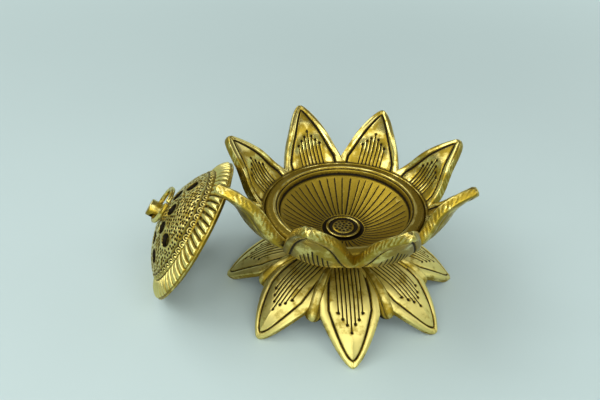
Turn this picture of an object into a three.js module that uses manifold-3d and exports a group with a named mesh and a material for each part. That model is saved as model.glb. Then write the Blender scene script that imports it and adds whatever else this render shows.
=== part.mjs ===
// A cast brass lotus burner for resin incense, with its pierced lid leaning against the petals.
// Millimetres, +Z up. The burner is modelled about its own axis, with the table at z = 0, and the
// whole group is then shifted so that the middle of its footprint is the origin.
import * as THREE from "three";
import { mergeVertices } from "three/addons/utils/BufferGeometryUtils.js";
import Module from "manifold-3d";

const wasm = await Module();
wasm.setup();

// Driving dimensions, in millimetres and degrees

const petalCount = 8;
const fitGap = 0.3; // between pieces that touch
const rootTurn = 360 / petalCount / 2; // the crown's petals stand over the gaps of the base

// Dish: a turned cup that holds the ember
const dishRimRadius = 37.5;
const dishRimHeight = 48.1; // top of the rim above the table
const dishDepth = 14.5; // from the rim's top to the floor round the bolt head
const dishWall = 2.2;
const dishSeatRadius = 13; // flat foot of the dish
const dishLip = 2; // radius of the rolled rim
const dishBeadRadius = 32.6; // a fine ridge inside the rim
const dishBead = 0.6;
const dishFloorRadius = 30.4; // where the engraved floor starts
const dishWellRadius = 10.5; // sunk flat round the bolt head
const dishWellDepth = 0.8;

// Crown: the upper lotus casting that carries the dish
const crownWall = 2.4;
const crownHubRadius = 12;
const crownHubThickness = 3.5;
const crownPetalTip = { radius: 59, height: 70.5 };
const crownPetalBends = [
  { out: 0.24, rise: 0.23 },
  { out: 0.5, rise: 0.62 },
]; // shares of the way from the rim to the tip: a steep rise, then the tip curls out
const crownPetalThickness = 4.4; // at the rim
const crownPetalHalfWidth = 17; // at the rim, where neighbours meet

// Base: the lower lotus casting that stands on its petal tips
const neckRadius = 11;
const neckHeight = 27.3; // top of the neck above the table
const baseWall = 3;
const basePetalTip = { radius: 57.3, height: 1.7 };
const basePetalBends = [
  { out: 0.27, rise: 0.11 },
  { out: 0.535, rise: 0.265 },
  { out: 0.8, rise: 0.61 },
]; // shares of the way from the neck down to the tip
const basePetalThickness = 3.3;
const basePetalHalfWidth = 13.6;
const budEnd = { radius: 42.2, height: 9.5 };
const budRadius = 3.5;
const budSunk = 0.5; // that a bud's axis lies below the petals' line

// Tie bolt with its seed-pod head, washer and nut
const boltRadius = 2.4;
const medallionRadius = 8.35;
const medallionHeight = 2;
const podRadius = 5.25;
const washerRadius = 6.5;
const washerThickness = 1.2;
const nutAcrossFlats = 8;
const nutHeight = 4;
const boltPastNut = 1.5;

// Lid: a pierced dome with a gadrooned rim and a spigot that drops into the dish
const lidSeatWidth = 3.7; // flat of the rim that rests on the dish's rim
const lidHeight = 17.8; // rim face to the flat under the lug
const lidWall = 2;
const lidLipHeight = 1.2;
const gadroonBandInset = 0.3; // from the lid's edge to the band
const gadroonBandWidth = 7.4;
const gadroonBandFoot = 2.2; // the band's height at its outer edge
const gadroonBandTop = 6.1; // and where it meets the dome
const gadroonCount = 64;
const gadroonDepth = 0.55;
const gadroonSlant = 5; // degrees that a lobe turns from the rim to the dome
const domeRoundness = 1.45; // exponent of the dome's curve: 2 is an ellipse, 1 a cone
const lugFlatRadius = 4.4;
const spigotClearance = 0.5;
const spigotDepth = 1.5;
const spigotWall = 1.8;
const holeRadius = 3;
const innerHoleCircle = 12.3;
const innerHoleCount = 8;
const innerHoleStart = -80; // degrees from the lid's upper side
const outerHoleCircle = 20.6;
const outerHoleAngles = [-121, -81, 6, 51, 96, 141, 186];
const leanAngle = 56.9; // the leaning lid's axis from upright
const lidTurn = -2.2; // degrees that the lid is turned about the upright from facing the burner
const lidAside = 1.1; // that it stands off the burner's middle line

// Lug and pull ring
const lugRadius = 3.9;
const lugHeight = 7.2; // above the dome
const lugShankRadius = 1.8;
const lugRivetRadius = 3.2;
const lugRivetHeight = 1.2;
const ringRadius = 8.5; // to the middle of the wire
const ringWire = 2.2; // diameter
const ringGap = 1.4; // between the ends of the bent wire
const ringAzimuth = -26; // degrees from the lid's upper side towards which the ring lies
const ringTilt = 4.8; // degrees that it droops below the lid's plane
const eyeHeight = 3.2; // above the dome
const eyeClearance = 0.25; // round the wire in the bore

// Fineness of the facets
const weldDistance = 1e-4;
const facetTolerance = 0.05; // facets flatter than this are joined
const roundSegments = 36;
const smallSegments = 12;
const pinSegments = 20;
const petalStations = 7;
const petalAcross = 4;

// Heights that follow from the stack of pieces
const dishFloorHeight = dishRimHeight - dishDepth;
const dishWellHeight = dishFloorHeight - dishWellDepth;
const dishSeatHeight = dishWellHeight - dishWall;
const hubTop = dishSeatHeight - fitGap;
const hubBottom = hubTop - crownHubThickness;
const neckTop = Math.min(neckHeight, hubBottom - fitGap);
const neckUnderside = neckTop - baseWall;
const boltHole = boltRadius + fitGap;

// The lid covers the mouth of the dish, and its spigot drops into it
const mouthRadius = dishRimRadius - 2 * dishLip;
const spigotRadius = mouthRadius - spigotClearance;
const lidRadius = mouthRadius + lidSeatWidth;

// The gadrooned band's edges, inside the lid's rim
const gadroonBandOuter = { radius: lidRadius - gadroonBandInset, height: gadroonBandFoot };
const gadroonBandInner = {
  radius: gadroonBandOuter.radius - gadroonBandWidth,
  height: gadroonBandTop,
};

const degrees = THREE.MathUtils.degToRad;

// Solids and geometries

// A closed geometry as a solid that can be joined and cut.
function solidOf(geometry) {
  const bare = new THREE.BufferGeometry();
  bare.setAttribute("position", geometry.getAttribute("position"));
  if (geometry.index) bare.setIndex(geometry.index);
  const merged = mergeVertices(bare, weldDistance);
  const corners = merged.index.array;
  const kept = [];
  for (let i = 0; i < corners.length; i += 3) {
    const [a, b, c] = [corners[i], corners[i + 1], corners[i + 2]];
    if (a !== b && b !== c && c !== a) kept.push(a, b, c);
  }
  return new wasm.Manifold(
    new wasm.Mesh({
      numProp: 3,
      vertProperties: merged.getAttribute("position").array,
      triVerts: new Uint32Array(kept),
    }),
  );
}

function geometryOf(solid) {
  const { vertProperties, triVerts } = solid.simplify(facetTolerance).getMesh();
  const geometry = new THREE.BufferGeometry();
  geometry.setAttribute("position", new THREE.BufferAttribute(vertProperties, 3));
  geometry.setIndex(new THREE.BufferAttribute(triVerts, 1));
  geometry.computeVertexNormals();
  return geometry;
}

// A profile of [radius, height] points turned about Z. Its points run anticlockwise, with the
// radius to the right and the height up, so that the faces point out.
function turned(profile, segments = roundSegments) {
  const points = profile.map(([r, z]) => new THREE.Vector2(r, z));
  if (profile[0][0] > 0) points.push(points[0].clone());
  return new THREE.LatheGeometry(points, segments).rotateX(Math.PI / 2);
}

function cylinder(radius, low, high, segments = smallSegments) {
  return new THREE.CylinderGeometry(radius, radius, high - low, segments)
    .rotateX(Math.PI / 2)
    .translate(0, 0, (low + high) / 2);
}

// Points of an arc in the profile plane, with the angles in degrees.
function arc(r, z, radius, from, to, steps) {
  return Array.from({ length: steps + 1 }, (_, i) => {
    const angle = degrees(from + ((to - from) * i) / steps);
    return [r + radius * Math.cos(angle), z + radius * Math.sin(angle)];
  });
}

// An open profile moved outwards, to its right as it runs, by one distance.
function grown(profile, distance) {
  return profile.map(([r, z], i) => {
    const [r0, z0] = profile[Math.max(i - 1, 0)];
    const [r1, z1] = profile[Math.min(i + 1, profile.length - 1)];
    const length = Math.hypot(r1 - r0, z1 - z0);
    return [r + (distance * (z1 - z0)) / length, z - (distance * (r1 - r0)) / length];
  });
}

// A closed skin over a grid of rings: rows[i][j] is a point, each row runs round the piece and
// closes on itself, and the last row joins the first.
function skinOf(rows) {
  const count = rows[0].length;
  const index = [];
  rows.forEach((_, i) => {
    const next = (i + 1) % rows.length;
    for (let j = 0; j < count; j++) {
      const right = (j + 1) % count;
      const [a, b, c, d] = [i * count + j, i * count + right, next * count + right, next * count + j];
      index.push(a, b, c, a, c, d);
    }
  });
  const geometry = new THREE.BufferGeometry();
  geometry.setAttribute("position", new THREE.Float32BufferAttribute(rows.flat(2), 3));
  geometry.setIndex(index);
  return geometry;
}

function union(solids) {
  return solids.reduce((sum, solid) => sum.add(solid));
}

// Copies of a geometry turned about Z, the first at the given angle.
function around(geometry, count, start) {
  return Array.from({ length: count }, (_, i) =>
    solidOf(geometry.clone().rotateZ(degrees(start + (360 * i) / count))),
  );
}

// A petal that points along +X. Its top follows a line in the XZ plane, bends across like the
// round body it grows from, and its back lies one thickness below.
function petal({ line, halfWidth, thickness, cupping }) {
  const top = [];
  const back = [];
  for (let i = 0; i <= petalStations; i++) {
    const along = i / petalStations;
    const middle = line.getPointAt(along);
    const tangent = line.getTangentAt(along);
    const normal = new THREE.Vector2(-tangent.y, tangent.x);
    const width = halfWidth(along);
    const bend = (cupping * tangent.y) / (2 * middle.x);
    const sweep = tangent.x / (2 * middle.x);
    for (let j = 0; j <= petalAcross; j++) {
      const share = (2 * j) / petalAcross - 1;
      const y = width * share;
      const depth = thickness(along);
      const x = middle.x + (normal.x * bend - tangent.x * sweep) * y * y;
      const z = middle.y + (normal.y * bend - tangent.y * sweep) * y * y;
      top.push([x, y, z]);
      back.push([x - normal.x * depth, y, z - normal.y * depth]);
    }
  }
  return closedSheet(top, back, petalStations, petalAcross);
}

// The closed geometry between two grids of points, each of rows by columns of faces.
function closedSheet(top, back, rows, columns) {
  const at = (i, j) => i * (columns + 1) + j;
  const under = (i, j) => top.length + at(i, j);
  const index = [];
  const quad = (a, b, c, d) => index.push(a, b, c, a, c, d);
  for (let i = 0; i < rows; i++) {
    for (let j = 0; j < columns; j++) {
      quad(at(i, j), at(i + 1, j), at(i + 1, j + 1), at(i, j + 1));
      quad(under(i, j), under(i, j + 1), under(i + 1, j + 1), under(i + 1, j));
    }
    quad(at(i, columns), at(i + 1, columns), under(i + 1, columns), under(i, columns));
    quad(at(i, 0), under(i, 0), under(i + 1, 0), at(i + 1, 0));
  }
  for (let j = 0; j < columns; j++) {
    quad(at(rows, j + 1), at(rows, j), under(rows, j), under(rows, j + 1));
    quad(at(0, j), at(0, j + 1), under(0, j + 1), under(0, j));
  }
  const geometry = new THREE.BufferGeometry();
  geometry.setAttribute("position", new THREE.Float32BufferAttribute([...top, ...back].flat(), 3));
  geometry.setIndex(index);
  return geometry;
}

// The half-width of a petal along its line: a narrower root, broadest at a share of its length,
// then round shoulders to a point.
function petalOutline(halfWidth, broadest, rootShare) {
  const pointHalfWidth = 0.9;
  const shoulder = 0.66; // exponent of the taper: 1 is straight, 0.5 an ellipse
  return (along) => {
    if (along < broadest) {
      const back = 1 - along / broadest;
      return halfWidth * (1 - (1 - rootShare) * back * back);
    }
    const ahead = (along - broadest) / (1 - broadest);
    return Math.max(pointHalfWidth, halfWidth * (1 - ahead) ** shoulder);
  };
}

// The thickness of a petal along its line: thin at the root, thickest at a share of its length,
// then a little thinner to the tip.
function petalThickness(thickest, broadest, rootShare, tipShare) {
  return (along) => {
    if (along < broadest) return thickest * (rootShare + ((1 - rootShare) * along) / broadest);
    return thickest * (1 - ((1 - tipShare) * (along - broadest)) / (1 - broadest));
  };
}

// The points of a petal's line after its root: the bends, given as shares, and the tip.
function petalPath(root, bends, tip) {
  const [across, up] = [tip.radius - root.x, tip.height - root.y];
  const path = bends.map(({ out, rise }) => [root.x + out * across, root.y + rise * up]);
  return [root, ...path.map(([r, z]) => new THREE.Vector2(r, z)), new THREE.Vector2(tip.radius, tip.height)];
}

// The share of a line's length at which it reaches a radius.
function shareAtRadius(line, radius) {
  let [low, high] = [0, 1];
  while (high - low > 1e-4) {
    const tried = (low + high) / 2;
    if (line.getPointAt(tried).x < radius) low = tried;
    else high = tried;
  }
  return low;
}

// Dish

function dishOuterProfile() {
  const lipCentre = [dishRimRadius - dishLip, dishRimHeight - dishLip];
  const steps = 4;
  const under = Array.from({ length: steps + 1 }, (_, i) => {
    const share = i / steps;
    const reach = lipCentre[0] - 0.4 - dishSeatRadius;
    const rise = lipCentre[1] - dishLip - dishSeatHeight;
    return [dishSeatRadius + reach * share, dishSeatHeight + rise * share ** 1.6];
  });
  return [[0, dishSeatHeight], ...under, ...arc(...lipCentre, dishLip, -50, 40, 3)];
}

function dishInnerProfile() {
  const lipCentre = [dishRimRadius - dishLip, dishRimHeight - dishLip];
  const floorEdge = dishRimHeight - 3.4;
  const floor = Array.from({ length: 5 }, (_, i) => {
    const share = 1 - i / 4;
    const reach = dishFloorRadius - dishWellRadius;
    return [
      dishWellRadius + reach * share,
      dishFloorHeight + (floorEdge - dishFloorHeight) * share ** 1.5,
    ];
  });
  return [
    ...arc(...lipCentre, dishLip, 70, 160, 3),
    [dishBeadRadius + dishBead, floorEdge + 1.2],
    [dishBeadRadius, floorEdge + 1.2 + dishBead],
    [dishBeadRadius - dishBead, floorEdge + 0.8],
    ...floor,
    [dishWellRadius - 0.4, dishWellHeight],
  ];
}

function makeDish() {
  const outer = dishOuterProfile().slice(1);
  const profile = [
    [boltHole, dishSeatHeight],
    ...outer,
    ...dishInnerProfile(),
    [boltHole, dishWellHeight],
  ];
  return solidOf(turned(profile));
}

// Crown casting

// The petals run up inside the wall of the bowl, leave it at the rim and curl out to their tips.
const crownLine = new THREE.SplineCurve([
  ...grown(dishOuterProfile(), fitGap + crownWall / 2)
    .slice(1, -2)
    .map(([r, z]) => new THREE.Vector2(r, z)),
  ...petalPath(
    new THREE.Vector2(dishRimRadius + 1.8, dishRimHeight - 1.4),
    crownPetalBends,
    crownPetalTip,
  ),
]);

function makeCrown() {
  const outline = dishOuterProfile();
  const rimShare = shareAtRadius(crownLine, dishRimRadius + 1.8);
  const shell = grown(outline, fitGap + crownWall).slice(1);
  const top = shell[shell.length - 1][1];
  const bowl = solidOf(turned([[0, shell[0][1]], ...shell, [0, top]]));
  const hub = solidOf(cylinder(crownHubRadius, hubBottom, hubTop, roundSegments));
  const petals = around(
    petal({
      line: crownLine,
      halfWidth: petalOutline(crownPetalHalfWidth, rimShare, 0.3),
      thickness: petalThickness(crownPetalThickness, rimShare, 0.5, 0.85),
      cupping: 1.3,
    }),
    petalCount,
    rootTurn,
  );
  const seat = grown(outline, fitGap);
  const wallTop = dishRimRadius + fitGap;
  const cavity = solidOf(
    turned([...seat, [wallTop, dishRimHeight], [wallTop, crownPetalTip.height], [0, crownPetalTip.height]]),
  );
  return union([bowl, hub, ...petals])
    .subtract(cavity)
    .subtract(solidOf(cylinder(boltHole, 0, dishRimHeight)));
}

// Base casting

const baseLine = new THREE.SplineCurve(
  petalPath(new THREE.Vector2(neckRadius + 1, neckTop - 1), basePetalBends, basePetalTip),
);

// The bell that carries the petals runs this far along their line.
const bellReach = 0.5;

function bellProfile() {
  const count = 5;
  return Array.from({ length: count + 1 }, (_, i) => {
    const point = baseLine.getPointAt((bellReach * (count - i)) / count);
    return [point.x, point.y - 1];
  });
}

function makeBell() {
  const outer = bellProfile();
  return turned([[0, outer[0][1]], ...outer, [neckRadius, neckTop - 1], [neckRadius, neckTop], [0, neckTop]]);
}

// What the underside of the bell is hollowed to, from the table up.
function bellHollow() {
  const inner = grown(bellProfile(), -baseWall);
  const ceiling = inner.filter(([, z]) => z < neckUnderside);
  const flat = washerRadius + 1.5;
  return turned([[0, 0], [ceiling[0][0], 0], ...ceiling, [flat, neckUnderside], [0, neckUnderside]]);
}

// A rounded bud between two petals, as a turned drop laid along the petals' slope.
function bud() {
  const root = baseLine.getPointAt(0.2);
  const end = new THREE.Vector2(budEnd.radius, budEnd.height);
  const length = root.distanceTo(end);
  const slope = Math.atan2(root.y - end.y, end.x - root.x);
  const sides = [
    [budRadius * 0.45, 0],
    [budRadius * 0.8, length * 0.5],
    [budRadius, length - budRadius],
  ];
  const nose = arc(0, length - budRadius, budRadius, 30, 90, 2);
  return turned([[0, 0], ...sides, ...nose], 8)
    .rotateY(Math.PI / 2)
    .rotateY(slope)
    .translate(root.x, 0, root.y - budSunk);
}

function makeBase() {
  const petals = around(
    petal({
      line: baseLine,
      halfWidth: petalOutline(basePetalHalfWidth, 0.6, 0.42),
      thickness: () => basePetalThickness,
      cupping: 1.3,
    }),
    petalCount,
    0,
  );
  const buds = around(bud(), petalCount, rootTurn);
  const reach = 2 * basePetalTip.radius;
  const table = solidOf(new THREE.BoxGeometry(reach, reach, reach).translate(0, 0, -reach / 2));
  return union([solidOf(makeBell()), ...petals, ...buds])
    .subtract(solidOf(bellHollow()))
    .subtract(table)
    .subtract(solidOf(cylinder(boltHole, 0, dishRimHeight)));
}

// Tie bolt, washer and nut

const washerTop = neckUnderside - fitGap;
const nutTop = washerTop - washerThickness - fitGap;

function makeBolt() {
  const seat = dishWellHeight + fitGap;
  const top = seat + medallionHeight;
  const end = nutTop - nutHeight - boltPastNut;
  const ringInner = podRadius + 1.15;
  return solidOf(
    turned(
      [
        [0, end],
        [boltRadius - 0.5, end],
        [boltRadius, end + 0.5],
        [boltRadius, seat],
        [medallionRadius, seat],
        [medallionRadius, top - 0.5],
        [medallionRadius - 0.5, top],
        [ringInner + 0.4, top],
        [ringInner, top - 0.9],
        [podRadius, top - 0.9],
        [podRadius * 0.8, top - 0.2],
        [podRadius * 0.4, top + 0.2],
        [0, top + 0.3],
      ],
      roundSegments,
    ),
  );
}

function makeWasher() {
  const low = washerTop - washerThickness;
  return solidOf(
    turned([
      [boltHole, low],
      [washerRadius, low],
      [washerRadius, washerTop],
      [boltHole, washerTop],
    ], pinSegments),
  );
}

function makeNut() {
  const corner = nutAcrossFlats / Math.sqrt(3);
  const body = solidOf(cylinder(corner, nutTop - nutHeight, nutTop, 6));
  return body.subtract(solidOf(cylinder(boltHole, 0, neckTop)));
}

// Lid, modelled closed side down with the middle of its rim face at the origin

function domeHeight(radius) {
  const edge = gadroonBandInner.height - 0.5;
  const share = Math.max(0, (radius - lugFlatRadius) / (gadroonBandInner.radius - lugFlatRadius));
  return edge + (lidHeight - edge) * (1 - share ** domeRoundness) ** (1 / domeRoundness);
}

function lidOuterProfile() {
  const steps = 7;
  const dome = Array.from({ length: steps + 1 }, (_, i) => {
    const share = Math.sin(degrees(90 * (1 - i / steps)));
    const radius = lugFlatRadius + (gadroonBandInner.radius - lugFlatRadius) * share;
    return [radius, domeHeight(radius)];
  });
  return [
    [lidRadius, 0],
    [lidRadius, lidLipHeight],
    [gadroonBandOuter.radius - 0.8, lidLipHeight + 0.2],
    [gadroonBandInner.radius + 2, gadroonBandInner.height - 1.3],
    ...dome,
    [0, lidHeight],
  ];
}

// The band of slanted lobes: each row of the skin runs round the lid, and the rows go over the
// band and back under it, inside the wall of the dome.
function gadroonBand() {
  const stepsAcross = 2;
  const columns = gadroonCount * 2;
  const span = [
    gadroonBandInner.radius - gadroonBandOuter.radius,
    gadroonBandInner.height - gadroonBandOuter.height,
  ];
  const rows = [];
  for (let i = 0; i <= stepsAcross; i++) {
    const share = i / stepsAcross;
    const swell = Math.sin(Math.PI * share);
    const row = [];
    for (let j = 0; j < columns; j++) {
      const turn = (360 * j) / columns;
      const lobe = Math.abs(Math.cos((degrees(turn) * gadroonCount) / 2)) - 1;
      const lift = swell * (0.9 + gadroonDepth * lobe) - 0.1;
      const radius = gadroonBandOuter.radius + span[0] * share + lift * 0.45;
      const height = gadroonBandOuter.height + span[1] * share + lift * 0.9;
      const angle = degrees(turn + gadroonSlant * share);
      row.push([radius * Math.cos(angle), radius * Math.sin(angle), height]);
    }
    rows.push(row);
  }
  const hidden = [gadroonBandInner.radius + 2.5, lidLipHeight + 0.4];
  rows.push(
    rows[0].map((_, j) => {
      const angle = (2 * Math.PI * j) / columns;
      return [hidden[0] * Math.cos(angle), hidden[0] * Math.sin(angle), hidden[1]];
    }),
  );
  return skinOf(rows);
}

function lidHollow() {
  const outer = lidOuterProfile();
  const dome = grown(outer.slice(3), -lidWall).filter(([r]) => r < spigotRadius - spigotWall);
  const wall = spigotRadius - spigotWall;
  return solidOf(
    turned(
      [[0, -spigotDepth - 1], [wall, -spigotDepth - 1], [wall, dome[0][1]], ...dome, [0, lidHeight - lidWall]],
    ),
  );
}

function smokeHole(circle, angle) {
  return cylinder(holeRadius, 0, 2 * lidHeight)
    .translate(circle, 0, 0)
    .rotateZ(degrees(angle));
}

function makeLidDome() {
  const shell = solidOf(turned([[0, 0], ...lidOuterProfile()]));
  const spigot = solidOf(cylinder(spigotRadius, -spigotDepth, 1));
  const inner = Array.from({ length: innerHoleCount }, (_, i) =>
    smokeHole(innerHoleCircle, innerHoleStart + (360 * i) / innerHoleCount),
  );
  const outer = outerHoleAngles.map((angle) => smokeHole(outerHoleCircle, angle));
  const shank = cylinder(lugShankRadius + fitGap, 0, 2 * lidHeight);
  return union([shell, solidOf(gadroonBand()), spigot])
    .subtract(lidHollow())
    .subtract(union([...inner, ...outer, shank].map(solidOf)));
}

// The wire bends away from the straight bore of the lug, so the bore is wider than the wire.
function makeLug() {
  const seat = lidHeight + fitGap;
  const top = lidHeight + lugHeight;
  const rivetTop = lidHeight - lidWall - fitGap;
  const barrel = solidOf(
    turned(
      [
        [0, rivetTop - lugRivetHeight],
        [lugRivetRadius * 0.7, rivetTop - lugRivetHeight],
        [lugRivetRadius, rivetTop],
        [lugShankRadius, rivetTop],
        [lugShankRadius, seat],
        [lugRadius, seat],
        [lugRadius, top - 0.7],
        [lugRadius - 0.7, top],
        [0, top + 0.3],
      ],
      pinSegments,
    ),
  );
  const slope = Math.asin(lugRadius / ringRadius);
  const bow = ringRadius * (1 - Math.cos(slope));
  const boreRadius = bow + ringWire / 2 / Math.cos(slope) + eyeClearance;
  const facets = boreRadius / Math.cos(Math.PI / smallSegments);
  const bore = new THREE.CylinderGeometry(facets, facets, 4 * lugRadius, smallSegments)
    .rotateZ(degrees(ringAzimuth))
    .translate(0, 0, lidHeight + eyeHeight);
  return barrel.subtract(solidOf(bore));
}

// The ring lies in its own XY plane with the eye at the origin and its middle on +X.
function makeRing() {
  const open = ringGap / ringRadius;
  const path = new THREE.Curve();
  path.getPoint = (t) => {
    const angle = open / 2 + (2 * Math.PI - open) * t;
    return new THREE.Vector3(ringRadius * (1 + Math.cos(angle)), ringRadius * Math.sin(angle), 0);
  };
  const section = new THREE.Shape();
  section.absarc(0, 0, ringWire / 2, 0, 2 * Math.PI, false);
  return new THREE.ExtrudeGeometry(section, {
    extrudePath: path,
    steps: 32,
    curveSegments: 4,
    bevelEnabled: false,
  });
}

// Materials

function brass(name, color, roughness) {
  const material = new THREE.MeshStandardMaterial({ color, roughness, metalness: 1 });
  material.name = name;
  return material;
}

const castBrass = brass("antique_cast_brass", 0xa8923c, 0.42);
const turnedBrass = brass("turned_brass", 0xae9a42, 0.36);
const lidBrass = brass("stippled_brass", 0x9c8a3a, 0.45);
const wireBrass = brass("brass_wire", 0xb3a04a, 0.35);
const plainBrass = brass("bolt_brass", 0xa08a3c, 0.4);

function piece(name, geometry, material) {
  const mesh = new THREE.Mesh(geometry, material);
  mesh.name = name;
  return mesh;
}

// Assembly

const solids = {
  lower_lotus: makeBase(),
  upper_lotus: makeCrown(),
  dish: makeDish(),
  centre_bolt: makeBolt(),
  base_washer: makeWasher(),
  base_nut: makeNut(),
};
const burner = new THREE.Group();
burner.add(
  piece("lower_lotus", geometryOf(solids.lower_lotus), castBrass),
  piece("upper_lotus", geometryOf(solids.upper_lotus), castBrass),
  piece("dish", geometryOf(solids.dish), turnedBrass),
  piece("centre_bolt", geometryOf(solids.centre_bolt), castBrass),
  piece("base_washer", geometryOf(solids.base_washer), plainBrass),
  piece("base_nut", geometryOf(solids.base_nut), plainBrass),
);

const lid = new THREE.Group();
const domeSolid = makeLidDome();
const ring = new THREE.Group();
ring.add(piece("lid_ring", makeRing(), wireBrass));
ring.position.set(0, 0, lidHeight + eyeHeight);
ring.rotation.set(0, degrees(ringTilt), degrees(ringAzimuth), "ZYX");
lid.add(
  piece("lid_dome", geometryOf(domeSolid), lidBrass),
  piece("lid_lug", geometryOf(makeLug()), lidBrass),
  ring,
);
lid.rotation.set(0, degrees(-leanAngle), degrees(lidTurn), "ZYX");

// The lid's lowest edge stands on the table, and the lid slides in until it meets the burner.
lid.updateMatrixWorld(true);
const leaning = domeSolid.transform(lid.matrixWorld.elements);
const lidLift = -leaning.boundingBox().min[2];
const obstacle = solids.upper_lotus.add(solids.lower_lotus);
const placedAt = (x) => leaning.translate([x, lidAside, lidLift]);
let [clear, blocked] = [-crownPetalTip.radius - 2 * lidRadius, -dishRimRadius];
while (blocked - clear > 0.01) {
  const tried = (clear + blocked) / 2;
  if (placedAt(tried).intersect(obstacle).isEmpty()) clear = tried;
  else blocked = tried;
}
const backOff = 0.02;
while (placedAt(clear).minGap(obstacle, 2 * fitGap) < fitGap) clear -= backOff;
lid.position.set(clear, lidAside, lidLift);

// The whole footprint's middle is the origin.
const dhoopBurner = new THREE.Group();
dhoopBurner.add(burner, lid);
dhoopBurner.updateMatrixWorld(true);
const footprint = new THREE.Box3().setFromObject(dhoopBurner, true);
const middle = footprint.getCenter(new THREE.Vector3());
dhoopBurner.children.forEach((child) => {
  child.position.x -= middle.x;
  child.position.y -= middle.y;
});
dhoopBurner.updateMatrixWorld(true);

export default dhoopBurner;
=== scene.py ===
"""A cast brass lotus burner for resin incense, with its pierced lid leaning beside it."""

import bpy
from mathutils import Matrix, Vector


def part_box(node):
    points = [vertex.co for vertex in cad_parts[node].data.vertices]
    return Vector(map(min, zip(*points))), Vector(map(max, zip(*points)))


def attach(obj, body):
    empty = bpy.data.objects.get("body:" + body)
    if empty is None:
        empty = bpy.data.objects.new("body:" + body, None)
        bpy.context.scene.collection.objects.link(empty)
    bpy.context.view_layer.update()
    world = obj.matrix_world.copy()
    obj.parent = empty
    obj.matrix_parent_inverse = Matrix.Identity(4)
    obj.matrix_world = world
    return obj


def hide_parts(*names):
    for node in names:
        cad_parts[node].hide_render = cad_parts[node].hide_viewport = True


bl_info = {
    "name": "Lotus dhoop burner",
    "version": (1, 0, 0),
    "blender": (4, 5, 0),
    "location": "View3D > Sidebar > Lotus",
    "description": "Builds a cast brass lotus burner and its pierced lid round the packed model",
    "category": "Object",
}

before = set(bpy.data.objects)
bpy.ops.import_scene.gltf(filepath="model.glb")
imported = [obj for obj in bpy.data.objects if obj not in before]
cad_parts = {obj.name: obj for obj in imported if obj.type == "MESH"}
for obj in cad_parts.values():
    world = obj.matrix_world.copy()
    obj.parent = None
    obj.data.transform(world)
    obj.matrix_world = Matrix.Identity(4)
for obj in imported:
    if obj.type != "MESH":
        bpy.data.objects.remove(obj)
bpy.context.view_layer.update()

import math

import bmesh
import bpy
import numpy as np
from bpy.props import FloatProperty, FloatVectorProperty, IntProperty, PointerProperty
from mathutils import Matrix, Vector
from mathutils.geometry import delaunay_2d_cdt

MM = 0.001
DISH_LOW, DISH_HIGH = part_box("dish")
AXIS = Vector(((DISH_LOW.x + DISH_HIGH.x) / 2, (DISH_LOW.y + DISH_HIGH.y) / 2, 0))
RIM_RADIUS = (DISH_HIGH.x - DISH_LOW.x) / 2
RIM_HEIGHT = DISH_HIGH.z
NECK_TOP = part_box("lower_lotus")[1].z
FIT_GAP = 0.3 * MM
# Radius of the holes that the bolt passes, and depth of the well that its head sits in
BOLT_HOLE = 2.7 * MM
WELL_DEPTH = 0.8 * MM
# Radius of the dish's rolled lip, and of the circle on which the crown's petals rise
DISH_LIP = 2 * MM
CROWN_ROOT = RIM_RADIUS + 1.8 * MM


# Sizes and colours

def length(name, description, millimetres):
    """A length property, given in millimetres and kept in metres."""
    return FloatProperty(
        name=name,
        description=description,
        default=millimetres * MM,
        precision=5,
        unit="LENGTH",
    )


def angle(name, description, degrees):
    return FloatProperty(
        name=name,
        description=description,
        default=math.radians(degrees),
        subtype="ANGLE",
    )


def colour(name, description, code):
    return FloatVectorProperty(
        name=name,
        description=description,
        default=linear(code),
        size=3,
        min=0,
        max=1,
        subtype="COLOR",
    )


def linear(code):
    """The linear colour of an sRGB hex code."""
    channels = [int(code[i:i + 2], 16) / 255 for i in (1, 3, 5)]
    return tuple(c / 12.92 if c <= 0.04045 else ((c + 0.055) / 1.055) ** 2.4 for c in channels)


class EngravingSettings(bpy.types.PropertyGroup):
    """The cuts that every petal carries."""

    groove_width: length("Outline width", "Width of the groove that follows the petal's edge", 1.0)
    groove_depth: length("Outline depth", "Depth of that groove", 0.6)
    stamen_width: length("Stamen width", "Width of the engraved stamens", 0.5)
    stamen_depth: length("Stamen depth", "Depth of the engraved stamens", 0.32)
    dot_radius: length("Dot radius", "Radius of the punched dot that ends a stamen", 0.66)
    dot_depth: length("Dot depth", "Depth of that dot", 0.5)
    file_pitch: length("File mark pitch", "Distance between the file marks on the edges", 2.0)
    file_depth: length("File mark depth", "Depth of the file marks on the edges", 0.15)


class BasePetalSettings(bpy.types.PropertyGroup):
    """The lower lotus: eight petals that slope down from the neck to the table."""

    count: IntProperty(name="Petals", description="Number of petals", default=8)
    neck_radius: length("Neck radius", "Radius of the neck under the crown", 11)
    tip_radius: length("Tip radius", "Distance of the tips from the axis", 57.3)
    tip_height: length("Tip height", "Height of the tips' upper face", 1.7)
    half_width: length("Half width", "Half the width of a petal at its broadest", 13.6)
    thickness: length("Thickness", "Thickness of a petal", 3.3)
    groove_half_width: length("Field half width", "Half the width between the outlines", 9.6)
    stamen_pitch: length("Stamen pitch", "Distance between stamens", 1.8)
    bud_radius: length("Bud radius", "Radius of the buds between the petals", 4.3)
    keel: length("Keel", "Height of the ridge that runs out to a petal's tip", 0.4)


class CrownPetalSettings(bpy.types.PropertyGroup):
    """The upper lotus: eight petals that rise round the dish and curl out."""

    tip_radius: length("Tip radius", "Distance of the tips from the axis", 59)
    tip_height: length("Tip height", "Height of the tips", 70.5)
    half_width: length("Half width", "Half the width of a petal at the rim", 17)
    thickness: length("Thickness", "Thickness of a petal at the rim", 4.4)
    wall: length("Bowl wall", "Wall of the bowl that carries the dish", 2.4)
    groove_half_width: length("Field half width", "Half the width between the outlines", 11.9)
    stamen_pitch: length("Stamen pitch", "Distance between stamens", 1.93)


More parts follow.
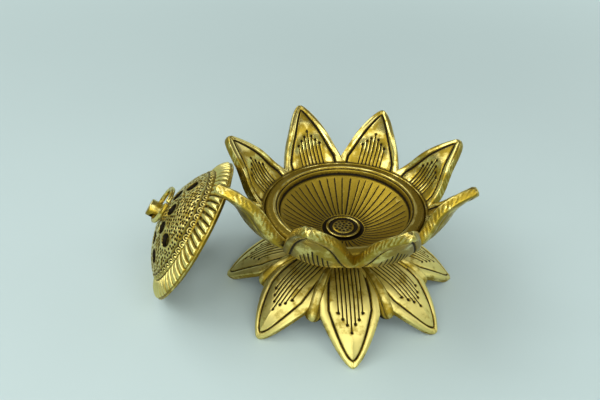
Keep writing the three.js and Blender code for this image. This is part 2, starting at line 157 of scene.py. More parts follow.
class DishSettings(bpy.types.PropertyGroup):
    """The turned dish that holds the ember."""

    depth: length("Depth", "From the rim's top to the floor", 14.5)
    wall: length("Wall", "Thickness of the dish", 2.2)
    ray_count: IntProperty(name="Rays", description="Number of rays cut in the floor", default=45)
    ray_width: length("Ray width", "Width of a ray", 0.5)
    ray_depth: length("Ray depth", "Depth of a ray", 0.35)
    ray_sway: angle("Ray sway", "How far the hand-cut rays stray from even spacing", 1.2)


class MedallionSettings(bpy.types.PropertyGroup):
    """The seed-pod head of the bolt that ties the castings together."""

    radius: length("Radius", "Radius of the bolt's head", 8.35)
    height: length("Height", "Height of the head", 1.55)
    pod_radius: length("Pod radius", "Radius of the pitted seed pod", 5.25)
    ring_width: length("Ring width", "Width of the raised ring round the pod", 1.25)
    bolt_radius: length("Bolt radius", "Radius of the shank", 2.4)
    seed_radius: length("Seed radius", "Radius of a punched seed", 0.58)


class LidSettings(bpy.types.PropertyGroup):
    """The pierced and stippled dome."""

    radius: length("Radius", "Radius of the lid", 37.2)
    height: length("Height", "From the rim's face to the flat under the lug", 17.8)
    wall: length("Wall", "Thickness of the dome", 2)
    hole_radius: length("Hole radius", "Radius of a smoke hole", 3)
    inner_circle: length("Inner circle", "Radius of the inner circle of holes", 12.3)
    outer_circle: length("Outer circle", "Radius of the outer circle of holes", 20.6)
    lobes: IntProperty(name="Lobes", description="Lobes round the rim", default=64)
    lobe_depth: length("Lobe depth", "Depth of the cuts between lobes", 1.7)
    lobe_slant: angle("Lobe slant", "How far a lobe turns over the band", 5)
    stipple_pitch: length("Stipple pitch", "Distance between punched pits", 1.85)
    pit_radius: length("Pit radius", "Radius of a punched pit", 0.62)
    pit_depth: length("Pit depth", "Depth of a punched pit", 0.42)
    arc_pitch: length("Arc pitch", "Distance between the arcs punched beside the lobes", 3.5)
    lean: angle("Lean", "The leaning lid's axis from upright", 56.9)
    turn: angle("Turn", "Turn of the leaning lid about the upright", -2.2)
    place_x: length("Place along X", "Middle of the rim face", -53.4125)
    place_y: length("Place along Y", "Middle of the rim face", 1.1)


class RingSettings(bpy.types.PropertyGroup):
    """The lug on the lid and the wire ring in it."""

    lug_radius: length("Lug radius", "Radius of the lug", 4.1)
    lug_height: length("Lug height", "Height of the lug above the dome", 7.2)
    eye_height: length("Eye height", "Height of the cross hole above the dome", 3.2)
    bore_radius: length("Bore radius", "Radius of the cross hole", 2.3)
    ring_radius: length("Ring radius", "Radius of the ring to the middle of its wire", 8.5)
    wire_radius: length("Wire radius", "Radius of the wire", 1.1)
    wire_gap: length("Wire gap", "Gap between the ends of the wire", 0.4)
    gap_turn: angle("Gap turn", "Place of the gap, from the ring's far side", -16)
    azimuth: angle("Azimuth", "Direction in which the ring lies, from the lid's upper side", -26)
    tilt: angle("Tilt", "Droop of the ring below the lid's plane", 4.8)


class BrassSettings(bpy.types.PropertyGroup):
    """Colours of the antique brass."""

    bright: colour("Bright", "Polished high spots", "#D9CB78")
    warm: colour("Warm", "Tarnished brass", "#988229")
    # The same dark colour also paints shade in crevices, recesses and under parts
    patina_and_shading: colour("Patina", "Dark lacquer left in the cuts", "#1C1504")


class StageSettings(bpy.types.PropertyGroup):
    """Floor, lamps and camera."""

    floor: colour("Floor", "Pale painted board", "#C1D5D3")
    elevation: angle("Camera elevation", "Height of the camera above the horizon", 34.71)
    heading: angle("Camera heading", "Turn of the camera about the burner", -0.47)
    roll: angle("Camera roll", "Roll of the camera", 0.27)
    distance: length("Camera distance", "From the camera to the point it looks at", 353.2)
    aim_x: length("Aim across", "The point on the table that it looks at", -21.06)
    aim_y: length("Aim away", "The point on the table that it looks at", 71.72)
    lens: FloatProperty(name="Lens", description="Focal length", default=33.88, unit="CAMERA")


# Lines and profiles

class Line:
    """A smooth line through points of the profile plane, measured along its length."""

    def __init__(self, points, fineness=60):
        ends = np.array([points[0], *points, points[-1]], float)
        steps = np.linspace(0, 1, fineness, endpoint=False)[:, None]
        pieces = []
        for before, start, end, after in zip(ends, ends[1:], ends[2:], ends[3:]):
            leave, arrive = (end - before) / 2, (after - start) / 2
            cubic = 2 * start - 2 * end + leave + arrive
            square = -3 * start + 3 * end - 2 * leave - arrive
            pieces.append(cubic * steps**3 + square * steps**2 + leave * steps + start)
        self.points = np.vstack([*pieces, ends[-1]])
        spans = np.hypot(*np.diff(self.points, axis=0).T)
        self.distances = np.concatenate([[0], np.cumsum(spans)])
        self.length = self.distances[-1]

    def at(self, distance):
        return np.stack([np.interp(distance, self.distances, c) for c in self.points.T], -1)

    def tangent(self, distance):
        step = self.length / 400
        ahead = self.at(np.minimum(distance + step, self.length))
        run = ahead - self.at(np.maximum(distance - step, 0))
        return run / np.linalg.norm(run, axis=-1, keepdims=True)

    def distance_at_radius(self, radius):
        return float(np.interp(radius, self.points[:, 0], self.distances))


def line_between(root, bends, tip):
    """Points from a root to a tip, with bends given as shares of the way out and of the rise."""
    span = np.subtract(tip, root)
    return [root, *(tuple(np.add(root, span * bend)) for bend in bends), tip]


def arc_points(centre, radius, start, end, steps):
    """Points of an arc in the profile plane, with the angles in degrees."""
    angles = np.radians(np.linspace(start, end, steps + 1))
    return [(centre[0] + radius * math.cos(a), centre[1] + radius * math.sin(a)) for a in angles]


def offset_profile(points, distance):
    """The profile moved to its right, as it runs, by one distance."""
    points = np.array(points, float)
    run = np.gradient(points, axis=0)
    run /= np.linalg.norm(run, axis=1, keepdims=True)
    return points + distance * np.stack([run[:, 1], -run[:, 0]], 1)


def smooth_step(start, end, value):
    """0 at the start, 1 at the end, with no corner between."""
    part = np.clip((value - start) / (end - start), 0, 1)
    return part * part * (3 - 2 * part)


def pit(distance, radius):
    """The share of its depth that a round-bottomed cut has at a distance from its middle."""
    return np.exp(-((distance / radius) ** 2))


def ripple(place, seed):
    """A slow uneven wave along a line, between -1 and 1, for hand work."""
    draw = np.random.RandomState(seed)
    waves = [(draw.uniform(0.5, 1.6), draw.uniform(0, 2 * math.pi)) for _ in range(4)]
    return sum(np.sin(place / MM * rate + phase) for rate, phase in waves) / len(waves)


# Meshes

def mesh_object(name, vertices, faces, patina_and_shading, weld=0.0):
    """A smooth object of the given mesh. Each point's value gives dark lacquer in cuts and painted
    shade in crevices and under parts; below zero the metal is rubbed bright.
    """
    mesh = bpy.data.meshes.new(name)
    mesh.from_pydata([tuple(v) for v in vertices], [], faces)
    layer = mesh.attributes.new("patina_and_shading", "FLOAT", "POINT")
    layer.data.foreach_set("value", np.asarray(patina_and_shading, np.float32))
    shape = bmesh.new()
    shape.from_mesh(mesh)
    if weld:
        bmesh.ops.remove_doubles(shape, verts=shape.verts, dist=weld)
    bmesh.ops.recalc_face_normals(shape, faces=shape.faces)
    shape.to_mesh(mesh)
    shape.free()
    mesh.shade_smooth()
    piece = bpy.data.objects.new(name, mesh)
    bpy.context.scene.collection.objects.link(piece)
    return piece


def joined(parts):
    """Vertices, faces and patina of several (vertices, faces, patina) parts as one."""
    vertices, faces, patina_and_shading = [], [], []
    count = 0
    for points, sides, dark in parts:
        vertices.append(np.asarray(points, float).reshape(-1, 3))
        faces += [tuple(i + count for i in side) for side in sides]
        patina_and_shading.append(np.broadcast_to(np.asarray(dark, float), len(vertices[-1])))
        count += len(vertices[-1])
    return np.vstack(vertices), faces, np.concatenate(patina_and_shading)


def sheet_faces(rows, columns, wrap_rows=False, wrap_columns=False):
    """Quads over a grid of points, closed round one way or both where it wraps."""
    last_row = rows if wrap_rows else rows - 1
    last_column = columns if wrap_columns else columns - 1
    faces = []
    for i in range(last_row):
        here, there = i * columns, (i + 1) % rows * columns
        for j in range(last_column):
            right = (j + 1) % columns
            faces.append((here + j, here + right, there + right, there + j))
    return faces


def capped_tube(sections):
    """Vertices and faces of a skin over closed sections, with a fan over each end."""
    rows, columns = sections.shape[:2]
    points = sections.reshape(-1, 3)
    faces = sheet_faces(rows, columns, wrap_columns=True)
    ends = [sections[0].mean(0), sections[-1].mean(0)]
    first, last = rows * columns, rows * columns + 1
    for j in range(columns):
        right = (j + 1) % columns
        faces.append((first, right, j))
        faces.append((last, (rows - 1) * columns + j, (rows - 1) * columns + right))
    return np.vstack([points, ends]), faces


def turned(profile, segments, patina_and_shading=0.0):
    """A closed profile of (radius, height) points turned about the upright."""
    profile = np.array(profile, float)
    turns = np.linspace(0, 2 * math.pi, segments, endpoint=False)[:, None]
    radii, heights = profile[:, 0], profile[:, 1]
    points = np.stack(
        [radii * np.cos(turns), radii * np.sin(turns), heights + 0 * turns],
        -1,
    )
    faces = sheet_faces(segments, len(profile), wrap_rows=True, wrap_columns=True)
    dark = np.broadcast_to(np.asarray(patina_and_shading, float), (segments, len(profile)))
    return points.reshape(-1, 3), faces, dark.reshape(-1)


def circle_points(middle, radius, count, first=0.0):
    turns = first + np.linspace(0, 2 * math.pi, count, endpoint=False)
    return np.stack([middle[0] + radius * np.cos(turns), middle[1] + radius * np.sin(turns)], -1)


def turned_solid(profile, segments):
    """A solid turned from (radius, height) points that start and end on its two flat ends."""
    circles = [
        np.column_stack([circle_points((0, 0), radius, segments), np.full(segments, height)])
        for radius, height in profile
    ]
    return capped_tube(np.array(circles))


# Copies round an axis

def add_node(tree, kind, inputs=None, **settings):
    """A node with its settings made, and each input linked to a socket or given a value."""
    node = tree.nodes.new(kind)
    for key, value in settings.items():
        setattr(node, key, value)
    for key, value in (inputs or {}).items():
        if isinstance(value, bpy.types.NodeSocket):
            tree.links.new(value, node.inputs[key])
        else:
            node.inputs[key].default_value = value
    return node


def copies_tree():
    """Sets a copy of one piece at each point, turned, leaned and stretched as the point says."""
    tree = bpy.data.node_groups.new("copies_round_axis", "GeometryNodeTree")
    sockets = [
        ("Points", "INPUT", "NodeSocketGeometry"),
        ("Piece", "INPUT", "NodeSocketObject"),
        ("Weld distance", "INPUT", "NodeSocketFloat"),
        ("Finish", "INPUT", "NodeSocketMaterial"),
        ("Copies", "OUTPUT", "NodeSocketGeometry"),
    ]
    for name, way, kind in sockets:
        tree.interface.new_socket(name=name, in_out=way, socket_type=kind)
    given = add_node(tree, "NodeGroupInput").outputs
    piece = add_node(
        tree,
        "GeometryNodeObjectInfo",
        {"Object": given["Piece"]},
        transform_space="ORIGINAL",
    )
    turn = add_node(tree, "GeometryNodeInputNamedAttribute", {"Name": "turn"}, data_type="FLOAT")
    lean = add_node(tree, "GeometryNodeInputNamedAttribute", {"Name": "lean"}, data_type="FLOAT")
    reach = add_node(tree, "GeometryNodeInputNamedAttribute", {"Name": "reach"}, data_type="FLOAT")
    angles = add_node(
        tree,
        "ShaderNodeCombineXYZ",
        {"Y": lean.outputs["Attribute"], "Z": turn.outputs["Attribute"]},
    )
    rotation = add_node(tree, "FunctionNodeEulerToRotation", {"Euler": angles.outputs["Vector"]})
    sizes = add_node(
        tree,
        "ShaderNodeCombineXYZ",
        {"X": reach.outputs["Attribute"], "Y": 1.0, "Z": reach.outputs["Attribute"]},
    )
    placed = add_node(
        tree,
        "GeometryNodeInstanceOnPoints",
        {
            "Points": given["Points"],
            "Instance": piece.outputs["Geometry"],
            "Rotation": rotation.outputs["Rotation"],
            "Scale": sizes.outputs["Vector"],
        },
    )
    real = add_node(
        tree, "GeometryNodeRealizeInstances", {"Geometry": placed.outputs["Instances"]}
    )
    welded = add_node(
        tree,
        "GeometryNodeMergeByDistance",
        {"Geometry": real.outputs["Geometry"], "Distance": given["Weld distance"]},
    )
    finished = add_node(
        tree,
        "GeometryNodeSetMaterial",
        {"Geometry": welded.outputs["Geometry"], "Material": given["Finish"]},
    )
    add_node(tree, "NodeGroupOutput", {"Copies": finished.outputs["Geometry"]})
    return tree


def copies(name, piece, places, finish, weld=1e-7):
    """Copies of a piece as one mesh. A place is (point, turn, lean, reach)."""
    guide = bpy.data.meshes.new(name)
    guide.from_pydata([tuple(place[0]) for place in places], [], [])
    for column, attribute in enumerate(("turn", "lean", "reach"), 1):
        layer = guide.attributes.new(attribute, "FLOAT", "POINT")
        layer.data.foreach_set("value", np.array([p[column] for p in places], np.float32))
    holder = bpy.data.objects.new(name + "_guide", guide)
    bpy.context.scene.collection.objects.link(holder)
    modifier = holder.modifiers.new("copies", "NODES")
    tree = bpy.data.node_groups.get("copies_round_axis") or copies_tree()
    modifier.node_group = tree
    values = {"Piece": piece, "Weld distance": weld, "Finish": finish}
    for socket in tree.interface.items_tree:
        if socket.item_type == "SOCKET" and socket.name in values:
            modifier[socket.identifier] = values[socket.name]
    bpy.context.view_layer.update()
    evaluated = holder.evaluated_get(bpy.context.evaluated_depsgraph_get())
    mesh = bpy.data.meshes.new_from_object(evaluated)
    mesh.name = name
    bpy.data.objects.remove(holder)
    bpy.data.objects.remove(piece)
    result = bpy.data.objects.new(name, mesh)
    bpy.context.scene.collection.objects.link(result)
    return result


def ring_of_places(count, pivot, first, turns=None, leans=None, reaches=None):
    """Places round the burner's axis, each with its point at the pivot's radius and height."""
    places = []
    for i in range(count):
        turn = first + 2 * math.pi * i / count + math.radians((turns or {}).get(i, 0))
        out = Vector((pivot[0] * math.cos(turn), pivot[0] * math.sin(turn), pivot[1]))
        lean = math.radians((leans or {}).get(i, 0))
        places.append((AXIS + out, turn, lean, (reaches or {}).get(i, 1.0)))
    return places


def shift_mesh(piece, matrix):
    """Puts a piece's place in its mesh."""
    piece.data.transform(matrix)
    piece.data.update()


def settle(piece, body, node):
    """Attaches a piece to its body, and hides the CAD node that it stands for."""
    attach(piece, body)
    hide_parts(node)


# Brass

def polish_and_highlight_share(tree, place_on, cuts, bright):
    """How far the metal is polished, with blotches of tarnish about 7 mm across, and more where a
    point is marked rubbed bright, which on some crests is a painted highlight.
    """
    blotches = add_node(
        tree,
        "ShaderNodeTexNoise",
        {"Vector": place_on, "Scale": 1 / (7 * MM), "Detail": 5.0, "Roughness": 0.62},
    ).outputs["Fac"]
    rubbed = add_node(
        tree, "ShaderNodeMath", {0: cuts, 1: -0.5, 2: blotches}, operation="MULTIPLY_ADD"
    ).outputs[0]
    return add_node(
        tree,
        "ShaderNodeMapRange",
        {"Value": rubbed, "From Min": 0.66 - 0.3 * bright, "From Max": 0.86 - 0.3 * bright},
        interpolation_type="SMOOTHSTEP",
    ).outputs["Result"]


def lacquer_and_shade_share(tree, place_on, cuts, mottle, patina_bias):
    """How much dark colour lies on the metal: lacquer in the cuts and painted shade in crevices and
    under parts, with a broken edge where the cloth has wiped it.
    """
    speckle = add_node(
        tree,
        "ShaderNodeTexNoise",
        {"Vector": place_on, "Scale": 1 / (0.9 * MM), "Detail": 3.0, "Roughness": 0.6},
    ).outputs["Fac"]
    uneven = add_node(
        tree,
        "ShaderNodeMath",
        {0: speckle, 1: 2 * mottle, 2: patina_bias - mottle},
        operation="MULTIPLY_ADD",
    ).outputs[0]
    summed = add_node(tree, "ShaderNodeMath", {0: cuts, 1: uneven}, operation="ADD").outputs[0]
    return add_node(
        tree,
        "ShaderNodeMapRange",
        {"Value": summed, "From Min": 0.16, "From Max": 0.78},
        interpolation_type="SMOOTHSTEP",
    ).outputs["Result"]


def cast_grain(tree, place_on, grain):
    """The normal of sand-cast grain, a little coarser than real so that it shows, and of the
    long ripples that filing leaves."""
    pores = add_node(
        tree,
        "ShaderNodeTexNoise",
        {"Vector": place_on, "Scale": 1 / grain, "Detail": 4.0, "Roughness": 0.55},
    ).outputs["Fac"]
    ripples = add_node(
        tree,
        "ShaderNodeTexNoise",
        {"Vector": place_on, "Scale": 1 / (3.5 * MM), "Detail": 2.0},
    ).outputs["Fac"]
    coarse = add_node(
        tree,
        "ShaderNodeBump",
        {"Height": ripples, "Strength": 0.5, "Distance": 0.16 * MM},
    ).outputs["Normal"]
    return add_node(
        tree,
        "ShaderNodeBump",
        {"Height": pores, "Strength": 0.45, "Distance": 0.035 * MM, "Normal": coarse},
    ).outputs["Normal"]


def brass(name, settings, bright, grain, roughness, mottle, patina_bias):
    """Antique brass as a material. bright is the share of polished metal, grain the size of the
    casting's texture, mottle how unevenly the lacquer was wiped, and patina_bias how much of it
    was left all over. A mesh's point values give lacquer in the cuts and painted shade in
    crevices and under parts; below zero the metal is rubbed bright, on some crests as a painted
    highlight too."""
    existing = bpy.data.materials.get(name)
    if existing:
        return existing
    material = bpy.data.materials.new(name)
    material.use_nodes = True
    tree = material.node_tree
    shader = tree.nodes["Principled BSDF"]
    place_on = add_node(tree, "ShaderNodeTexCoord").outputs["Object"]
    cuts = add_node(tree, "ShaderNodeAttribute", attribute_name="patina_and_shading").outputs["Fac"]
    polish = polish_and_highlight_share(tree, place_on, cuts, bright)
    # Dark lacquer in the cuts, and painted shade in crevices and under parts
    lacquer = lacquer_and_shade_share(tree, place_on, cuts, mottle, patina_bias)
    metal = add_node(
        tree,
        "ShaderNodeMix",
        {6: (*settings.warm, 1), 7: (*settings.bright, 1), "Factor": polish},
        data_type="RGBA",
    ).outputs[2]
    surface = add_node(
        tree,
        "ShaderNodeMix",
        {6: metal, 7: (*settings.patina_and_shading, 1), "Factor": lacquer},
        data_type="RGBA",
    ).outputs[2]
    metallic = add_node(
        tree,
        "ShaderNodeMapRange",
        {"Value": lacquer, "To Min": 1.0, "To Max": 0.35},
    ).outputs["Result"]
    # Polished metal is smoother than tarnish, and lacquer is rougher than both
    smoothness = add_node(
        tree,
        "ShaderNodeMapRange",
        {"Value": polish, "To Min": roughness + 0.12, "To Max": roughness - 0.04},
    ).outputs["Result"]
    roughened = add_node(
        tree,
        "ShaderNodeMix",
        {"A": smoothness, "B": 0.62, "Factor": lacquer},
        data_type="FLOAT",
    ).outputs[0]
    # The dirt in the cuts hardly shines
    shader.inputs["Specular IOR Level"].default_value = 0.2
    tree.links.new(surface, shader.inputs["Base Color"])
    tree.links.new(metallic, shader.inputs["Metallic"])
    tree.links.new(roughened, shader.inputs["Roughness"])
    tree.links.new(cast_grain(tree, place_on, grain), shader.inputs["Normal"])
    return material


def cast_brass(settings):
    # Sand-cast brass, filed and buffed, then lacquered dark and wiped: bright on the high
    # spots, near black in the cuts
    return brass(
        "antique_cast_brass",
        settings,
        bright=0.8,
        grain=0.45 * MM,
        roughness=0.25,
        mottle=0.4,
        patina_bias=0.04,
    )


def rubbed_and_lightened_brass(settings):
    # The same casting with more of the lacquer rubbed off, and lighter all over as painted light,
    # for the lower lotus
    return brass(
        "rubbed_and_lightened_cast_brass",
        settings,
        bright=0.85,
        grain=0.45 * MM,
        roughness=0.48,
        mottle=0.35,
        patina_bias=-0.05,
    )


def turned_brass(settings):
    # Turned and hand-engraved brass with more of the lacquer left on, so it is duller
    return brass(
        "engraved_turned_brass",
        settings,
        bright=0.2,
        grain=0.35 * MM,
        roughness=0.33,
        mottle=0.5,
        patina_bias=0.12,
    )


def stippled_brass(settings):
    # Cast brass stippled with a punch: each pit holds lacquer and the net between is polished
    return brass(
        "punched_brass",
        settings,
        bright=0.85,
        grain=0.3 * MM,
        roughness=0.32,
        mottle=0.25,
        patina_bias=-0.04,
    )


def wire_brass(settings):
    # Drawn wire, bent cold and only lightly lacquered
    return brass(
        "drawn_brass_wire",
        settings,
        bright=0.85,
        grain=0.6 * MM,
        roughness=0.27,
        mottle=0.3,
        patina_bias=0.0,
    )


def plain_brass(settings):
    # Bought hardware under the base, tarnished all over
    return brass(
        "plain_brass",
        settings,
        bright=0.1,
        grain=0.5 * MM,
        roughness=0.38,
        mottle=0.4,
        patina_bias=0.15,
    )


# Petals

class Petal:
    """One petal along +X: its line, its outline and the bend of its faces."""

    def __init__(self, line, start, half_width, broadest, root_share, thickness, twist=0.0):
        self.line = line
        self.start = start
        self.half_width = half_width
        self.broadest = broadest
        self.root_share = root_share
        self.thickness = thickness
        self.twist = twist
        self.shoulder = 0.66
        self.cupping = 1.3
        self.edge_round = 0.55 * MM
        self.nose = 1.5 * MM
        self.pillow_rise = 0.6 * MM
        self.margin_rise = 0.35 * MM

    def outline(self, distance, half_width, broadest, root_share, closing, exponent):
        """Half the width of an outline: a narrow root, its broadest place, then the taper."""
        back = np.clip(1 - distance / broadest, 0, None)
        swelling = half_width * (1 - (1 - root_share) * back * back)
        ahead = np.clip((distance - broadest) / (closing - broadest), 0, 1)
        return np.where(distance < broadest, swelling, half_width * (1 - ahead) ** exponent)

    def widths(self, distance):
        edge = self.outline(
            distance,
            self.half_width,
            self.broadest,
            self.root_share,
            self.line.length,
            self.shoulder,
        )
        return np.maximum(edge, 0.15 * MM)

    def surface(self, distance, across, lift):
        """Points of the petal's face, lifted along its normal."""
        middle, run = self.line.at(distance), self.line.tangent(distance)
        radius = middle[..., 0]
        bend = self.cupping * run[..., 1] / (2 * radius) * across**2 + lift
        sweep = run[..., 0] / (2 * radius) * across**2
        twist = self.twist * (distance - self.start) / (self.line.length - self.start)
        twist = np.clip(twist, -abs(self.twist), abs(self.twist)) * (distance > self.start)
        across, bend = (
            across * np.cos(twist) - bend * np.sin(twist),
            across * np.sin(twist) + bend * np.cos(twist),
        )
        x = radius - run[..., 1] * bend - run[..., 0] * sweep
        z = middle[..., 1] + run[..., 0] * bend - run[..., 1] * sweep
        return np.stack([x, across + 0 * x, z], -1)


def engraved_columns(pitch, count):
    """Distances across half the field, set close together on each stamen."""
    near, far = 0.2 * MM, 0.45 * MM
    fine = [0, near, far, pitch / 2, pitch - far, pitch - near]
    columns = [k * pitch + offset for k in range(count) for offset in fine]
    return np.array([*columns, count * pitch, count * pitch + near, count * pitch + 0.42 * MM])


def side_columns(widths, field, middle, groove_width, edge_round, fine):
    """Distances from the middle of a petal to its edge, one row for each width."""
    sliver = 0.02 * MM
    reach = groove_width * 0.85
    squeeze = np.minimum(1, 0.8 * np.maximum(field - reach, sliver) / middle[-1])
    parts = [middle[None, :] * squeeze[:, None]]
    between = np.maximum(field - reach, parts[0][:, -1] + sliver)
    start = parts[0][:, -1:]
    plain = np.linspace(0, 1, 4 if fine else 3)[1:-1]
    parts.append(start + (between[:, None] - start) * plain)
    cut = np.array([-1, -0.5, -0.22, 0, 0.22, 0.5, 1] if fine else [-1, -0.4, 0, 0.4, 1])
    parts.append(np.maximum(field[:, None], reach) + reach * cut)
    crest = np.maximum(widths - edge_round, 0.4 * widths)
    begin = parts[-1][:, -1:]
    parts.append(begin + (np.maximum(crest[:, None], begin) - begin) * np.array([0.35, 0.7]))
    bend = np.sin(np.radians([0, 25, 48, 68, 90] if fine else [0, 35, 90]))
    parts.append(crest[:, None] + (widths - crest)[:, None] * bend)
    columns = np.hstack(parts)
    step = 0.004 * MM * np.arange(columns.shape[1])
    columns = np.maximum.accumulate(np.minimum(columns, widths[:, None] - step[-1] + step), 1)
    columns += step - step[-1] * (columns > widths[:, None] - step[-1])
    return np.clip(np.maximum.accumulate(columns, 1), 0, widths[:, None])


class PetalCuts:
    """The outline and the stamens cut in a petal's face, and the lacquer that they hold. wiped
    is how far the lacquer has been rubbed off the whole face, which also lightens it as painted
    light."""

    def __init__(self, petal, first_row, field, pitch, engraving, wiped):
        self.petal = petal
        self.field = field
        self.pitch = pitch
        self.engraving = engraving
        self.wiped = wiped
        self.rows = np.linspace(first_row, petal.line.length, 900)
        half = field(self.rows)
        closed = half <= 0.02 * MM
        self.outline_end = self.rows[closed][0] if closed.any() else petal.line.length
        self.steepness = np.minimum(np.abs(np.gradient(half, self.rows)), 1.2)

    def outline(self, place, across):
        """Depth and lacquer of the groove that follows the petal's edge."""
        steep = np.interp(place, self.rows, self.steepness)
        away = np.abs(np.abs(across) - self.field(place)) / np.hypot(1, steep)
        beyond = np.hypot(place - self.outline_end, across)
        away = np.where(place > self.outline_end, beyond, away)
        broad_from = self.petal.start + 0.4 * self.outline_end
        swell = 0.75 + 0.25 * smooth_step(self.outline_end, broad_from, place)
        width = self.engraving.groove_width * swell / 2
        wear = 0.82 + 0.18 * ripple(place * 0.5, 31)
        depth = self.engraving.groove_depth * wear * pit(away, width)
        dark = wear * (1 - smooth_step(0.55 * width, 1.7 * width, away))
        return depth, dark

    def haze(self, place, across, ends):
        """The thin lacquer that stays between the stamens."""
        spread = (len(ends) // 2 + 0.8) * self.pitch
        among = 1 - smooth_step(0.8 * spread, 1.15 * spread, np.abs(across))
        held = 0.15 * among * (1 - smooth_step(0.75 * ends[0], max(ends), place))
        return held * (1 - min(1, 4 * self.wiped))

    def engraved(self, place, across, ends, dots):
        """Depth and lacquer of every cut, for stamens that end there, with or without dots."""
        cuts = self.engraving
        depth, dark = self.outline(place, across)
        dark = np.maximum(dark, self.haze(place, across, ends))
        for k, end in enumerate(ends):
            aside = np.abs(across - (k - len(ends) // 2) * self.pitch)
            to_line = np.hypot(aside, np.maximum(place - end, 0))
            to_dot = np.hypot(aside, place - end)
            stroke = cuts.stamen_width / 2
            depth = np.maximum(depth, cuts.stamen_depth * pit(to_line, stroke))
            dark = np.maximum(dark, 1 - smooth_step(0.6 * stroke, 1.7 * stroke, to_line))
            if dots:
                rim = cuts.dot_radius
                depth = np.maximum(depth, cuts.dot_depth * pit(to_dot, rim * 0.8))
                dark = np.maximum(dark, 1 - smooth_step(0.8 * rim, 1.25 * rim, to_dot))
        return depth, dark


class PetalRows:
    """The cross sections of a petal, and the shape of its faces and edges there."""

    def __init__(self, petal, rows, field, joined_share, keel, keel_start):
        self.petal = petal
        self.distance = np.array(rows)
        self.widths = petal.widths(self.distance)
        self.square = 1 / np.hypot(1, np.gradient(self.widths, self.distance))
        self.field_width = field(self.distance)
        self.keel = keel
        self.keel_start = keel_start
        self.free_from = petal.start + joined_share * petal.line.length
        nose_start = petal.line.length - petal.nose
        nose = np.clip((self.distance - nose_start) / petal.nose, 0, 1)
        self.roundness = np.sqrt(np.clip(1 - nose**2, 0, 1)) * 0.93 + 0.07
        self.thickness = petal.thickness(self.distance) * self.roundness
        self.sunk = (petal.thickness(self.distance) - self.thickness) / 2

    def face(self, columns, keeled):
        """Distances across and lifts of one face, before its cuts, and the roll of its margin."""
        petal, widths = self.petal, self.widths
        across = np.hstack([-columns[:, :0:-1], columns])
        place = np.broadcast_to(self.distance[:, None], across.shape)
        edge = (widths[:, None] - np.abs(across)) * self.square[:, None]
        inset = np.clip(1 - edge / petal.edge_round, 0, 1)
        drop = petal.edge_round * (1 - np.sqrt(np.clip(1 - inset**2, 0, 1)))
        half = np.maximum(self.field_width[:, None], 0.3 * MM)
        pillow = np.clip(1 - (across / half) ** 2, 0, None)
        margin = np.maximum(widths[:, None] - half, 0.3 * MM)
        part = np.clip((np.abs(across) - half) / margin, 0, 1)
        roll = np.sin(math.pi * np.minimum(part * 1.15, 1)) ** 0.8
        fullness = np.minimum(1, half / (6 * MM))
        lift = petal.pillow_rise * pillow * fullness + petal.margin_rise * roll
        lift -= drop * np.minimum(1, widths / MM)[:, None]
        if keeled:
            start = smooth_step(self.keel_start - 4 * MM, self.keel_start + 4 * MM, place)
            lift += self.keel * start * np.exp(-np.abs(across) / (1.1 * MM))
        return across, place, lift, roll

    def filed_edge(self, side, top_lift, bottom_lift, engraving):
        """Points and darkening of one edge: lacquer in its file marks, and painted shade where it
        is joined to its neighbours.
        """
        levels = np.linspace(0, 1, 8)[1:-1]
        lift = top_lift + (bottom_lift - top_lift) * levels
        place = np.broadcast_to(self.distance[:, None], lift.shape)
        phase = place / engraving.file_pitch + 1.3 * levels
        phase = phase + 0.4 * ripple(place, 5 + side)
        notch = np.clip(np.sin(2 * math.pi * phase), -1, 0.45)
        clear = smooth_step(self.free_from, self.free_from + 7 * MM, place)
        fade = clear * (0.7 + 0.3 * ripple(place * 0.35, 9 + side)) * self.roundness[:, None]
        bulge = 0.14 * MM * np.sin(math.pi * levels)
        bulge = bulge * np.minimum(1, self.widths / (2 * MM))[:, None]
        swell = bulge + engraving.file_depth * (notch - 0.2) * fade
        points = self.petal.surface(place, side * (self.widths[:, None] + swell), lift)
        marks = 0.45 * fade * smooth_step(0.1, -0.8, notch)
        # Where the edges are still joined to the neighbouring petals they are darkened as painted
        # shade
        return points, np.maximum(marks, 0.8 * (1 - clear))


